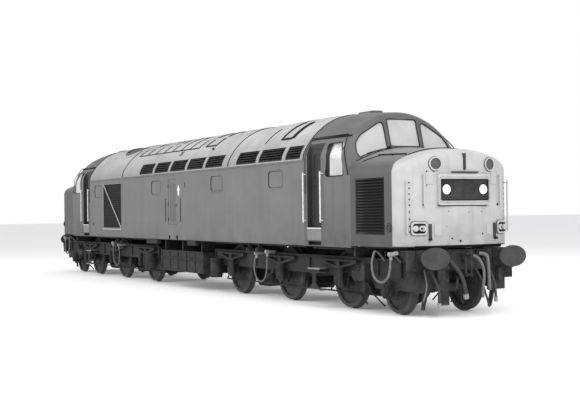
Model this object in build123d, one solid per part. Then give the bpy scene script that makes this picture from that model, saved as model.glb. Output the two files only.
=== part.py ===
"""Nose-cab diesel locomotive on two eight-wheel bogies, in millimetres.

The frame stands on the floor under its wheel flanges: +X runs along the length towards
end 1, +Y is the left side seen from inside facing end 1, and +Z is up.
"""
from build123d import *
import math
import os

# Rail line: the flanges hang this far below the top of the rail
FLANGE = 28.0


def rail(height):
    """Turn a height above the top of the rail into a height above the floor."""
    return FLANGE + height


# Body section, shared by the sides, the roof and the cabs
BODY_HALF_WIDTH = 1350.0
BODY_BOTTOM = rail(1215.0)
ROOF_TOP = rail(3920.0)
ROOF_RADIUS = BODY_HALF_WIDTH + 130.0
SHOULDER_RADIUS = 400.0
WALL = 50.0
SKIRT_ROUNDING = 40.0

# Strip along the top of the side, and the rims round the blind windows
STRIP_HEIGHT = 24.0
STRIP_PROUD = 15.0
RIM_WIDTH = 24.0
RIM_PROUD = 8.0

# Engine room and floor
ROOM_END = 6800.0
FLOOR_TOP = rail(1585.0)
FLOOR_PLATE = 20.0
UNDERFRAME_BOTTOM = rail(1235.0)
GIRDER_OFFSET = 500.0
OUTER_GIRDER_OFFSET = 1240.0
GIRDER_FLANGE = 110.0
GIRDER_WEB = 20.0
CROSS_BEAMS = 13
CROSS_BEAM_WIDTH = 60.0

# Battery boxes between the bogies: start, end, half width, bottom and top
BATTERY_BOX = (-1148.0, 1561.0, 1250.0, rail(400.0), rail(936.0))
BATTERY_SPLIT = rail(741.0)
BATTERY_DOORS = 5
BATTERY_HANGERS = (-1000.0, 150.0, 1350.0)

# Boxes and pipe ends hung under the outer girders
UNDER_BOXES = (
    # start, end, outer, inner, bottom
    (-2032.0, -1300.0, 1330.0, 1200.0, rail(1095.0)),
    (770.0, 1266.0, 1330.0, 1200.0, rail(1095.0)),
)
PIPE_END_X = (4124.0, 4588.0)

# Side openings: each is centre x, width, bottom and top above the rail
LOUVRE_X = -4754.0
LOUVRE_WIDTH = 1606.0
LOUVRE_LOW = rail(1474.0)
LOUVRE_HIGH = rail(2820.0)
LOUVRE_SLATS = 20
MID_DOOR_X = -112.0
MID_DOOR_WIDTH = 579.0
MID_DOOR_LOW = rail(1530.0) + 85.0
MID_DOOR_HIGH = rail(2791.0)
SIDE_PANEL_X = (-6025.0, -1262.0, 2600.0, 5578.0)
SIDE_PANEL_WIDTH = 625.0
SIDE_PANEL_LOW = rail(2420.0)
SIDE_PANEL_HIGH = rail(2785.0)
SIDE_PANEL_CORNER = 90.0
SIDE_PANEL_DEPTH = 8.0

# Recesses beside the middle door, and the holes in the skirt below it
SLOT_X = (-578.0, 405.0)
SLOT_LOW = rail(1690.0)
SLOT_HIGH = rail(2297.0)
SLOT_HALF_WIDTH = 32.0
SLOT_DEPTH = 26.0
SLOT_RAIL_RADIUS = 11.0
SKIRT_HOLE_X = (-333.0, 170.0)
SKIRT_HOLE_Z = rail(1285.0)
SKIRT_HOLE_RADIUS = 48.0

# Roof sections, from joint to joint, and what is set in them
ROOF_JOINTS = (-ROOM_END, -3850.0, 3250.0, ROOM_END)
ROOF_SEAM = 4.0
FILTER_ABOVE_CANTRAIL = 41.0
FILTER_HEIGHT = 280.0
FILTER_SPANS = (
    # start, end
    (-2491.0, -1511.0),
    (-1385.0, -405.0),
    (-279.0, 701.0),
    (827.0, 1807.0),
    (1933.0, 2913.0),
    (3653.0, 4652.0),
    (4783.0, 5865.0),
    (6006.0, 6650.0),
)
FILTER_SLATS = 4
ROOF_RIB_Y = 720.0
ROOF_RIB_WIDTH = 36.0
ROOF_RIB_PROUD = 22.0
ROOF_RIBS = (
    # start, end, spaces between ribs
    (-3800.0, -700.0, 7),
    (1150.0, 3000.0, 3),
)
ROOF_HATCHES = (
    # start, end, half width
    (604.0, 1040.0, 700.0),
    (4705.0, 5309.0, 700.0),
    (5560.0, 6300.0, 560.0),
)
HATCH_PROUD = 22.0
ROOF_BEADS = (-6100.0, -5750.0, -3550.0, 3850.0, 4400.0, 6480.0)
BEAD_WIDTH = 30.0
BEAD_PROUD = 8.0
FAN_X = LOUVRE_X
FAN_RADIUS = 850.0
FAN_RING = 60.0
FAN_PROUD = 30.0
FAN_BARS = 13

# Cab: the raked and bowed windscreen panel
SCREEN_X = 8482.0
SCREEN_Z = rail(3178.0)
SCREEN_RAKE = 0.28
SCREEN_BOW = 6000.0
SCREEN_THICKNESS = 50.0
CAB_FRONT = 8575.0
DASH_Z = rail(2600.0)
CAB_DOME_START = 7350.0
CAB_DOME_DROP = 118.0
CAB_DOME_END = SCREEN_X + 300.0
CAB_ROLL = 90.0
GLASS_THICKNESS = 12.0
GLASS_SETBACK = 14.0
SEAL_GAP = 0.3
CENTRE_PANE = ((-345.0, 3160.0), (345.0, 3160.0), (345.0, 3702.0), (-345.0, 3702.0))
SIDE_PANE = (
    # across, above the rail
    (430.0, 3105.0),
    (1000.0, 2915.0),
    (1098.0, 2995.0),
    (1098.0, 3205.0),
    (975.0, 3370.0),
    (500.0, 3645.0),
    (440.0, 3600.0),
)
PANE_CORNER = 45.0
CAB_WINDOW_REAR = 7670.0
CAB_WINDOW_FRONT = 8342.0
CAB_WINDOW_LOW = rail(2590.0)
CAB_WINDOW_HIGH = rail(3240.0)
CAB_WINDOW_RAKE = 0.24
CAB_WINDOW_CORNER = 70.0

# Cab doorway: a recess in the side with the door at its back
DOOR_X = 7210.0
DOORWAY_WIDTH = 560.0
DOORWAY_HIGH = rail(3350.0)
RECESS_DEPTH = 105.0
LINING = 30.0
DOOR_THICKNESS = 40.0
DOOR_GAP = 6.0
HINGE_INSET = 34.0
HINGE_PIN = 10.0
HINGE_PIN_LENGTH = 20.0
PIN_CLEARANCE = 0.05
DOOR_OPENING_WIDTH = 530.0
CAB_DOOR_HIGH = rail(3150.0)
BULKHEAD = 40.0

# Kick plate, foothole, rain strip and roof vent of each cab
KICK_PLATE = (6930.0, 7490.0, rail(1338.0), rail(1560.0))
FOOTHOLE = (6947.0, 7461.0, rail(1236.0), rail(1314.0))
GUTTER = (6850.0, 8262.0, rail(3362.0), rail(3384.0))
GUTTER_PROUD = 22.0
VENT = (7020.0, 7484.0, 150.0, 31.0)

# Nose: plan, section and front
NOSE_FRONT = 10300.0
NOSE_BOTTOM = rail(1250.0)
NOSE_TAPER = 60.0
NOSE_HALF_WIDTH = BODY_HALF_WIDTH - NOSE_TAPER
NOSE_CORNER_X = 9662.0
NOSE_CORNER_RADIUS = 550.0
NOSE_CORNER_EASE = 0.5
NOSE_TOP_FRONT = rail(3020.0)
NOSE_TOP_REAR = rail(3135.0)
NOSE_TOP_RADIUS_REAR = 2400.0
NOSE_TOP_RADIUS_FRONT = 2700.0
NOSE_SHOULDER = 320.0
NOSE_BROW = 200.0
NOSE_SECTION_X = 10095.0
NOSE_GRILLE_X = 9180.0
NOSE_GRILLE_WIDTH = 900.0
NOSE_GRILLE_LOW = rail(1470.0)
NOSE_GRILLE_HIGH = rail(2510.0)
NOSE_GRILLE_SLATS = 18

# Nose front fittings
HEADCODE_HALF_WIDTH = 585.0
HEADCODE_LOW = rail(1992.0)
HEADCODE_HIGH = rail(2555.0)
HEADCODE_PANEL_HALF_WIDTH = 530.0
HEADCODE_PANEL_LOW = rail(2082.0)
HEADCODE_PANEL_HIGH = rail(2453.0)
HEADCODE_PROUD = 22.0
MARKER_OFFSET = 415.0
MARKER_Z = rail(2274.0)
MARKER_RADIUS = 95.0
TAIL_LAMP_OFFSET = 927.0
TAIL_LAMP_Z = rail(1582.0)
HORN_OFFSET = 613.0
HORN_Z = rail(2735.0)
HORN_RADIUS = 125.0
LIFTING_POINT = (9755.0, rail(1600.0), 70.0)

# Handrails: radius, and the stubs that hold them
RAIL_RADIUS = 16.0
RAIL_STUB_SHARE = 0.7
RAIL_STUB_INSET = 40.0
RAIL_STANDOFF = 60.0

DOOR_RAIL_LOW = rail(1690.0)
DOOR_RAIL_HIGH = rail(2700.0)

# Wheels and axles
GAUGE_INSIDE = 680.0
TYRE_WIDTH = 135.0
DRIVEN_RADIUS = 571.5
IDLER_RADIUS = 457.0
DRIVEN_AXLES = (7658.0, 5220.0, 2781.0)
IDLER_AXLE = 9334.0
AXLE_RADIUS = 95.0
JOURNAL_RADIUS = 70.0
JOURNAL_END = 1060.0
JOURNAL_CLEARANCE = 0.05
TYRE_DEPTH = 75.0
WEB_HALF = 16.0
HUB_RADIUS = 150.0

# Axle boxes: half width, and heights below and above the axle line
AXLE_BOX_HALF = 150.0
AXLE_BOX_LOW = 130.0
AXLE_BOX_HIGH = 170.0
AXLE_BOX_INNER = 900.0
AXLE_BOX_OUTER = 1090.0

# Horn legs and stays round the axle boxes, and the brake blocks on the treads
HORN_LEG = 80.0
HORN_STAY = 30.0
HORN_STAY_DROP = 20.0
BLOCK_INNER = 735.0
BLOCK_OUTER = 810.0
BLOCK_GAP = 8.0
BLOCK_DEPTH = 50.0
BLOCK_HALF_HEIGHT = 160.0
HANGER_WIDTH = 40.0
HANGER_TOP = rail(945.0)

# Upright cylinder at the inner end of each bogie, and the dampers and links beside the driven axle boxes
CYLINDERS = (
    # x, out from the frame, radius, bottom, top
    (2150.0, 160.0, 143.0, rail(350.0), rail(810.0)),
)
DAMPER_OFFSET = 215.0
DAMPER_OUT = 145.0
DAMPER_RADIUS = 60.0
DAMPER_COLLAR = 10.0
DAMPER_LOW = rail(430.0)
DAMPER_HIGH = rail(795.0)
DAMPER_LUG_LOW = rail(690.0)
DAMPER_LUG_HIGH = rail(750.0)
LINK_RADIUS = 22.0
LINK_OUT = 110.0
LINK_PLAN = (
    # distance behind the axle, height
    (775.0, rail(347.0)),
    (240.0, rail(620.0)),
)

# Bogie frame
PIVOT_X = 5230.0
PIVOT_RADIUS = 150.0
PIVOT_LOW = rail(960.0)
BOLSTER_TOP = rail(1190.0)
FRAME_INNER = 960.0
FRAME_PLATE = 45.0
FRAME_TOP = rail(1000.0)
FRAME_LOW = rail(640.0)
FRAME_REAR = 1750.0
FRAME_RIB = 30.0
FRAME_RIB_X = (1850.0, 4000.0, 6440.0, 8800.0, 9000.0, 9750.0)
NOSE_END_LOW = rail(450.0)
STRETCHER_PITCH = 1219.5
HEADSTOCK_X = 10150.0
HEADSTOCK_THICKNESS = 50.0
HEADSTOCK_HALF = 1200.0
HEADSTOCK_LOW = rail(820.0)
HEADSTOCK_HIGH = rail(1190.0)
HEADSTOCK_APRONS = (
    # inner, outer, bottom
    (600.0, 1010.0, rail(430.0)),
    (1008.0, 1190.0, rail(640.0)),
)
HEADSTOCK_BOXES = (
    # across, half width, bottom, top, out
    (-492.0, 88.0, rail(640.0), rail(835.0), 40.0),
    (-492.0, 60.0, rail(240.0), rail(650.0), 28.0),
    (832.0, 46.0, rail(600.0), rail(830.0), 70.0),
    (330.0, 40.0, rail(1050.0), rail(1170.0), 60.0),
    (-620.0, 35.0, rail(1060.0), rail(1160.0), 45.0),
)
BUFFER_X = 10592.0
BUFFER_OFFSET = 870.0
BUFFER_Z = rail(1054.0)
BUFFER_HALF_WIDTH = 300.0
BUFFER_HALF_HEIGHT = 195.0
BUFFER_HEAD = 35.0


def box(x0, x1, y0, y1, z0, z1):
    """Block between two corners."""
    size = (x1 - x0, y1 - y0, z1 - z0)
    return Solid.make_box(*size).moved(Location((x0, y0, z0)))


def prism(axis, points, start, end, corner=0.0):
    """Polygon drawn across an axis and carried along it; its corners may be rounded."""
    place = {
        "x": lambda p: (start, p[0], p[1]),
        "y": lambda p: (p[0], start, p[1]),
        "z": lambda p: (p[0], p[1], start),
    }[axis]
    along = {"x": (1, 0, 0), "y": (0, 1, 0), "z": (0, 0, 1)}[axis]
    face = make_face(Polyline(*[place(p) for p in points], close=True))
    if corner:
        face = fillet(face.vertices(), corner)
    return extrude(face, amount=end - start, dir=along).solid()


def rod(start, end, radius):
    """Round bar from one point to another."""
    reach = Vector(*end) - Vector(*start)
    plane = Plane(origin=start, z_dir=reach)
    return Solid.make_cylinder(radius, reach.length, plane)


def mirrored(shape):
    """Copy on the other side of the centre line."""
    return shape.mirror(Plane.XZ)


def both_sides(shape):
    """The shape and its copy on the other side."""
    return [shape, mirrored(shape)]


def other_end(shape):
    """Copy at end 2, turned half round."""
    return shape.rotate(Axis.Z, 180)


def whole(shape):
    """The one solid of a shape, or a group of its solids."""
    solids = shape.solids()
    return solids[0] if len(solids) == 1 else Compound(list(solids))


def fuse(shapes):
    """One solid from pieces that meet."""
    first, *rest = shapes
    return whole(first.fuse(*rest)) if rest else first


def carve(shape, tools):
    """Shape with each tool cut away."""
    for tool in tools:
        shape = whole(shape - tool)
    return shape


def solids_of(shapes):
    """Flat list of solids in a shape or a list of shapes."""
    if isinstance(shapes, (list, tuple)):
        return [solid for shape in shapes for solid in solids_of(shape)]
    return list(shapes.solids())


NODES = {}


def node(name, shapes):
    """Keep the solids of one named piece."""
    NODES[name] = solids_of(shapes)


def shoulder_centre(half_width, top, radius, shoulder):
    """Centre of the shoulder arc that is tangent to the side and to the top arc."""
    across = half_width - shoulder
    rise = math.sqrt((radius - shoulder) ** 2 - across ** 2)
    return across, top - radius + rise


def arch_face(x, half_width, top, radius, shoulder, low):
    """Section across the body: flat foot, upright sides, shoulder arcs and a top arc."""
    across, spring = shoulder_centre(half_width, top, radius, shoulder)
    reach = radius / (radius - shoulder)
    touch = (across * reach, top - radius + (spring - top + radius) * reach)
    lean = math.atan2(touch[1] - spring, touch[0] - across) / 2
    middle = (across + shoulder * math.cos(lean), spring + shoulder * math.sin(lean))
    line = [
        Line((x, half_width, low), (x, half_width, spring)),
        ThreePointArc((x, half_width, spring), (x, *middle), (x, *touch)),
        ThreePointArc((x, *touch), (x, 0, top), (x, -touch[0], touch[1])),
        ThreePointArc((x, -touch[0], touch[1]), (x, -middle[0], middle[1]), (x, -half_width, spring)),
        Line((x, -half_width, spring), (x, -half_width, low)),
        Line((x, -half_width, low), (x, half_width, low)),
    ]
    return make_face(Wire([part.edge() for part in line]))


def body_solid(start, end, inset, low):
    """Body section carried from one x to another, drawn in by the inset and cut off at its foot."""
    face = arch_face(start, BODY_HALF_WIDTH - inset, ROOF_TOP - inset,
                     ROOF_RADIUS - inset, SHOULDER_RADIUS - inset, BODY_BOTTOM - 2)
    column = extrude(face, amount=end - start, dir=(1, 0, 0)).solid()
    wide = BODY_HALF_WIDTH - inset + 50
    return column - box(start - 10, end + 10, -wide, wide, BODY_BOTTOM - 50, low)


CANTRAIL = shoulder_centre(BODY_HALF_WIDTH, ROOF_TOP, ROOF_RADIUS, SHOULDER_RADIUS)[1]
FILTER_LOW = CANTRAIL + FILTER_ABOVE_CANTRAIL
FILTER_HIGH = FILTER_LOW + FILTER_HEIGHT


def body_shell(start, end, outer, inner, low):
    """Hollow body section between two insets."""
    return body_solid(start, end, outer, low) - body_solid(start - 1, end + 1, inner, low - 1)


def side_slab(x_centre, width, low, high, corner, outer, inner):
    """Rounded block through one side wall, on the right."""
    plane = Plane(origin=(x_centre, -outer, (low + high) / 2), x_dir=(1, 0, 0), z_dir=(0, 1, 0))
    return extrude(plane * RectangleRounded(width, high - low, corner), amount=outer - inner).solid()


def louvre(x_centre, width, low, high, slats, face, depth):
    """Framed set of sloping slats in the right side wall."""
    frame = 30.0
    left = x_centre - width / 2 + SEAL_GAP
    right = x_centre + width / 2 - SEAL_GAP
    bottom = low + SEAL_GAP
    top = high - SEAL_GAP
    rim = box(left, right, -face, -face + depth, bottom, top)
    rim -= box(left + frame, right - frame, -face - 1, -face + depth + 1, bottom + frame, top - frame)
    pitch = (top - bottom - 2 * frame) / slats
    blade = 6.0
    rise = 1.4 * pitch
    blades = []
    for index in range(slats):
        foot = bottom + frame - blade / 2 + pitch * index
        outline = [
            (-face + 4, foot),
            (-face + 4, foot + blade),
            (-face + depth - 4, foot + rise),
            (-face + depth - 4, foot + rise - blade),
        ]
        blades.append(prism("x", outline, left + frame / 2, right - frame / 2))
    return fuse([rim] + blades)


# Underframe: deck, girders, cross beams and the two pivot posts
def girder(offset, reach):
    """Channel girder along the underframe."""
    low = UNDERFRAME_BOTTOM
    high = FLOOR_TOP - FLOOR_PLATE
    web = box(-reach, reach, offset - GIRDER_WEB / 2, offset + GIRDER_WEB / 2, low, high)
    lip = box(-reach, reach, offset - GIRDER_FLANGE / 2, offset + GIRDER_FLANGE / 2, low, low + GIRDER_WEB)
    return web.fuse(lip)


def make_underframe():
    reach = 8500.0
    nose_reach = 10050.0
    deck_half = BODY_HALF_WIDTH - WALL - 10
    nose_half = NOSE_HALF_WIDTH - WALL - 50
    quarter = [(reach, deck_half), (reach + 100, nose_half), (reach + 1100, nose_half), (nose_reach, 750)]
    right = quarter + [(x, -y) for x, y in reversed(quarter)]
    plan = right + [(-x, -y) for x, y in right]
    pieces = [prism("z", plan, FLOOR_TOP - FLOOR_PLATE, FLOOR_TOP)]
    for offset in (GIRDER_OFFSET, -GIRDER_OFFSET):
        pieces.append(girder(offset, nose_reach - 50))
    for offset in (OUTER_GIRDER_OFFSET, -OUTER_GIRDER_OFFSET):
        pieces.append(girder(offset, reach - 100))
    step = 2 * (reach - 200) / (CROSS_BEAMS - 1)
    for index in range(CROSS_BEAMS):
        x = -reach + 200 + step * index
        pieces.append(box(x - CROSS_BEAM_WIDTH / 2, x + CROSS_BEAM_WIDTH / 2,
                          -OUTER_GIRDER_OFFSET, OUTER_GIRDER_OFFSET,
                          UNDERFRAME_BOTTOM + GIRDER_WEB, FLOOR_TOP - FLOOR_PLATE))
    for x in (PIVOT_X, -PIVOT_X):
        pieces.append(box(x - 400, x + 400, -GIRDER_OFFSET, GIRDER_OFFSET,
                          UNDERFRAME_BOTTOM, UNDERFRAME_BOTTOM + 120))
        pieces.append(rod((x, 0, PIVOT_LOW), (x, 0, UNDERFRAME_BOTTOM + 60), PIVOT_RADIUS))
    for x in (nose_reach - 80, -nose_reach + 20):
        pieces.append(box(x, x + 60, -750, 750, UNDERFRAME_BOTTOM, FLOOR_TOP - FLOOR_PLATE))
    for start, end, outer, inner, low in UNDER_BOXES:
        case = box(start, end, -outer, -inner, low, BODY_BOTTOM - 8)
        case = case.fuse(box(start, end, -outer + WALL, -inner, BODY_BOTTOM - 10, UNDERFRAME_BOTTOM + 5))
        pieces += both_sides(case)
    for x in PIPE_END_X:
        hang = box(x - 20, x + 20, -1270, -1200, rail(1070), UNDERFRAME_BOTTOM + 5)
        pipe = rod((x, -1325, rail(1085)), (x, -1150, rail(1085)), 42).fuse(hang)
        pieces += [turned for twin in both_sides(pipe) for turned in (twin, other_end(twin))]
    hinge = hinge_bores(cab_hinge(), FLOOR_TOP, CAB_DOOR_HIGH)[0]
    bores = [turn for bore in both_sides(hinge) for turn in (bore, other_end(bore))]
    return carve(fuse(pieces), bores)


def make_side():
    """Right engine room side with its louvre, door and blind window panels."""
    side = box(-ROOM_END, ROOM_END, -BODY_HALF_WIDTH, -BODY_HALF_WIDTH + WALL, BODY_BOTTOM, CANTRAIL)
    edges = side.edges().filter_by(Axis.X).sort_by(Axis.Z)[:2]
    outer = [edge for edge in edges if edge.center().Y < -BODY_HALF_WIDTH + 1]
    side = side.fillet(SKIRT_ROUNDING, outer)
    side -= box(LOUVRE_X - LOUVRE_WIDTH / 2, LOUVRE_X + LOUVRE_WIDTH / 2, -BODY_HALF_WIDTH - 1,
                -BODY_HALF_WIDTH + WALL + 1, LOUVRE_LOW, LOUVRE_HIGH)
    side -= box(MID_DOOR_X - MID_DOOR_WIDTH / 2, MID_DOOR_X + MID_DOOR_WIDTH / 2, -BODY_HALF_WIDTH - 1,
                -BODY_HALF_WIDTH + WALL + 1, MID_DOOR_LOW, MID_DOOR_HIGH)
    for x in SIDE_PANEL_X:
        side -= side_slab(x, SIDE_PANEL_WIDTH, SIDE_PANEL_LOW, SIDE_PANEL_HIGH, SIDE_PANEL_CORNER,
                          BODY_HALF_WIDTH + 1, BODY_HALF_WIDTH - SIDE_PANEL_DEPTH)
    for x in SLOT_X:
        side -= box(x - SLOT_HALF_WIDTH, x + SLOT_HALF_WIDTH, -BODY_HALF_WIDTH - 1,
                    -BODY_HALF_WIDTH + SLOT_DEPTH, SLOT_LOW, SLOT_HIGH)
    for x in SKIRT_HOLE_X:
        side -= rod((x, -BODY_HALF_WIDTH - 1, SKIRT_HOLE_Z), (x, -BODY_HALF_WIDTH + WALL + 1, SKIRT_HOLE_Z),
                    SKIRT_HOLE_RADIUS)
    side = carve(side, hinge_bores(mid_hinge(), MID_DOOR_LOW, MID_DOOR_HIGH))
    strip = box(-ROOM_END, ROOM_END, -BODY_HALF_WIDTH - STRIP_PROUD, -BODY_HALF_WIDTH + 5,
                CANTRAIL - STRIP_HEIGHT, CANTRAIL)
    rims = [side_rim(x) for x in SIDE_PANEL_X]
    ledge = box(LOUVRE_X - LOUVRE_WIDTH / 2, LOUVRE_X + LOUVRE_WIDTH / 2, -BODY_HALF_WIDTH - 18,
                -BODY_HALF_WIDTH + 5, LOUVRE_LOW - 30, LOUVRE_LOW)
    return fuse([side, strip, ledge, *rims])


def side_rim(x):
    """Raised rim round a blind window."""
    outer = BODY_HALF_WIDTH + RIM_PROUD
    inner = BODY_HALF_WIDTH - 2
    grown = side_slab(x, SIDE_PANEL_WIDTH + 2 * RIM_WIDTH, SIDE_PANEL_LOW - RIM_WIDTH,
                      SIDE_PANEL_HIGH + RIM_WIDTH, SIDE_PANEL_CORNER + RIM_WIDTH, outer, inner)
    return whole(grown - side_slab(x, SIDE_PANEL_WIDTH, SIDE_PANEL_LOW, SIDE_PANEL_HIGH, SIDE_PANEL_CORNER,
                                   outer + 1, inner - 1))


def filter_window(span, grow):
    """Blocks that cut the filter windows of one span out of both roof shoulders."""
    block = box(span[0] - grow, span[1] + grow, -BODY_HALF_WIDTH - 50, -BODY_HALF_WIDTH + 400,
                FILTER_LOW - grow, FILTER_HIGH + grow)
    return both_sides(block)


def make_roof(start, end):
    """One roof section with the windows and the fan opening that fall inside it."""
    roof = body_shell(start + ROOF_SEAM / 2, end - ROOF_SEAM / 2, 0, WALL, CANTRAIL)
    for span in FILTER_SPANS:
        if start < span[0] and span[1] < end:
            for block in filter_window(span, 0):
                roof -= block
    if start < FAN_X - FAN_RADIUS and FAN_X + FAN_RADIUS < end:
        roof -= rod((FAN_X, 0, ROOF_TOP - 1000), (FAN_X, 0, ROOF_TOP + 100), FAN_RADIUS)
    return fuse([roof, *roof_bands(start, end)])


def roof_band(start, end, proud, half, inner=0.0):
    """Strip that follows the roof from side to side, or only its parts beyond an inner width."""
    band = body_shell(start, end, -proud, 6, CANTRAIL)
    band &= box(start - 1, end + 1, -half, half, CANTRAIL, ROOF_TOP + 100)
    if inner:
        band -= box(start - 1, end + 1, -inner, inner, CANTRAIL - 1, ROOF_TOP + 101)
    return list(band.solids())


def roof_bands(start, end):
    """Ribs, hatches and beads of one roof section."""
    bands = []
    for first, last, spaces in ROOF_RIBS:
        if start < first and last < end:
            pitch = (last - first) / spaces
            for index in range(spaces + 1):
                x = first + pitch * index
                bands += roof_band(x - ROOF_RIB_WIDTH / 2, x + ROOF_RIB_WIDTH / 2, ROOF_RIB_PROUD, ROOF_RIB_Y)
            bands += roof_band(first, last, ROOF_RIB_PROUD, ROOF_RIB_Y, ROOF_RIB_Y - ROOF_RIB_WIDTH)
    for first, last, half in ROOF_HATCHES:
        if start < first and last < end:
            bands += roof_band(first, last, HATCH_PROUD, half)
    for x in ROOF_BEADS:
        if start < x < end:
            bands += roof_band(x - BEAD_WIDTH / 2, x + BEAD_WIDTH / 2, BEAD_PROUD, 1180)
    return bands


def make_filters():
    """Slatted filters in the roof shoulders."""
    panels = []
    setback = 12.0
    depth = 25.0
    border = 30.0
    slot = 26.0
    for span in FILTER_SPANS:
        shell = body_shell(span[0] - 1, span[1] + 1, setback, setback + depth, CANTRAIL)
        window = filter_window(span, -SEAL_GAP)[0]
        panel = shell & window
        pitch = (FILTER_HIGH - FILTER_LOW - 2 * border) / FILTER_SLATS
        for index in range(FILTER_SLATS):
            foot = FILTER_LOW + border + pitch * (index + 0.5) - slot / 2
            panel -= box(span[0] + border, span[1] - border, -BODY_HALF_WIDTH - 50,
                         -BODY_HALF_WIDTH + 400, foot, foot + slot)
        panels += both_sides(panel)
    return panels


def make_fan_grille():
    """Raised ring and bars over the radiator fan."""
    reach = FAN_RADIUS - SEAL_GAP
    shell = body_shell(FAN_X - reach, FAN_X + reach, -FAN_PROUD, WALL, CANTRAIL + 200)
    disc = rod((FAN_X, 0, ROOF_TOP - 900), (FAN_X, 0, ROOF_TOP + 100), reach)
    hole = rod((FAN_X, 0, ROOF_TOP - 900), (FAN_X, 0, ROOF_TOP + 100), reach - FAN_RING)
    ring = (shell & disc) - hole
    pieces = [ring]
    pitch = 2 * (reach - FAN_RING) / FAN_BARS
    for index in range(FAN_BARS):
        y = -reach + FAN_RING + pitch * (index + 0.5)
        length = math.sqrt((reach - FAN_RING / 2) ** 2 - y ** 2)
        top = ROOF_TOP - ROOF_RADIUS + math.sqrt(ROOF_RADIUS ** 2 - y ** 2)
        pieces.append(box(FAN_X - length, FAN_X + length, y - 8, y + 8, top - 40, top + 10))
    for x in (FAN_X - 270, FAN_X + 270):
        cross = body_shell(x - 15, x + 15, 15, 40, CANTRAIL + 200)
        pieces.append(cross & disc)
    return fuse(pieces)


def screen_x(z):
    """Front of the windscreen panel on the centre line at a height."""
    return SCREEN_X - SCREEN_RAKE * (z - SCREEN_Z)


def screen_region(offset, low, ahead):
    """Space ahead of or behind the bowed and raked screen surface, from a height up."""
    half = 1600.0
    high = ROOF_TOP + 200
    centre = screen_x(low) + offset
    sag = SCREEN_BOW - math.sqrt(SCREEN_BOW ** 2 - half ** 2)
    far = centre + 2500 if ahead else centre - 2500
    line = [
        ThreePointArc((centre - sag, -half, low), (centre, 0, low), (centre - sag, half, low)),
        Line((centre - sag, half, low), (far, half, low)),
        Line((far, half, low), (far, -half, low)),
        Line((far, -half, low), (centre - sag, -half, low)),
    ]
    face = make_face(Wire([part.edge() for part in line]))
    lean = math.hypot(1, SCREEN_RAKE)
    return extrude(face, amount=(high - low) * lean, dir=(-SCREEN_RAKE / lean, 0, 1 / lean)).solid()


def cab_solid(start, end, inset, low):
    """Cab section carried forward, its roof falling from the start of the dome."""
    places = [start] + [x for x in (CAB_DOME_START,) if start < x < end] + [end]
    fall = CAB_DOME_DROP / (CAB_DOME_END - CAB_DOME_START)
    faces = [arch_face(x, BODY_HALF_WIDTH - inset, ROOF_TOP - inset - fall * max(0, x - CAB_DOME_START),
                       ROOF_RADIUS - inset, SHOULDER_RADIUS - inset, BODY_BOTTOM - 2) for x in places]
    wide = BODY_HALF_WIDTH - inset + 50
    return whole(loft(faces, ruled=True) - box(start - 10, end + 10, -wide, wide, BODY_BOTTOM - 50, low))


def cab_band(start, end, outer, inner, low):
    """Hollow cab section between two insets."""
    return whole(cab_solid(start, end, outer, low) - cab_solid(start - 1, end + 1, inner, low - 1))


def cab_form():
    """Outer form of the cab, raked at the front, with its front rim rolled."""
    form = whole(cab_solid(ROOM_END + ROOF_SEAM / 2, CAB_DOME_END, 0, BODY_BOTTOM) - screen_region(0, DASH_Z, True))
    rim = [edge for edge in form.edges() if edge.center().X > SCREEN_X - 500
           and edge.center().Z > CANTRAIL - 60 and abs(edge.center().X - screen_x(edge.center().Z)) < 220
           and edge.length > 200]
    rim = [edge for edge in rim if abs(edge.tangent_at(0.5).X) < 0.75]
    return form.fillet(CAB_ROLL, rim)


def cab_window(gap):
    """Block of the right cab side window, its front edge raked like the screen."""
    high = CAB_WINDOW_HIGH - gap
    low = CAB_WINDOW_LOW + gap
    front = CAB_WINDOW_FRONT - gap
    outline = [(CAB_WINDOW_REAR + gap, low), (front, low), (front - CAB_WINDOW_RAKE * (high - low), high),
               (CAB_WINDOW_REAR + gap, high)]
    return prism("y", outline, -BODY_HALF_WIDTH - 50, -BODY_HALF_WIDTH + 400, CAB_WINDOW_CORNER)


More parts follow.
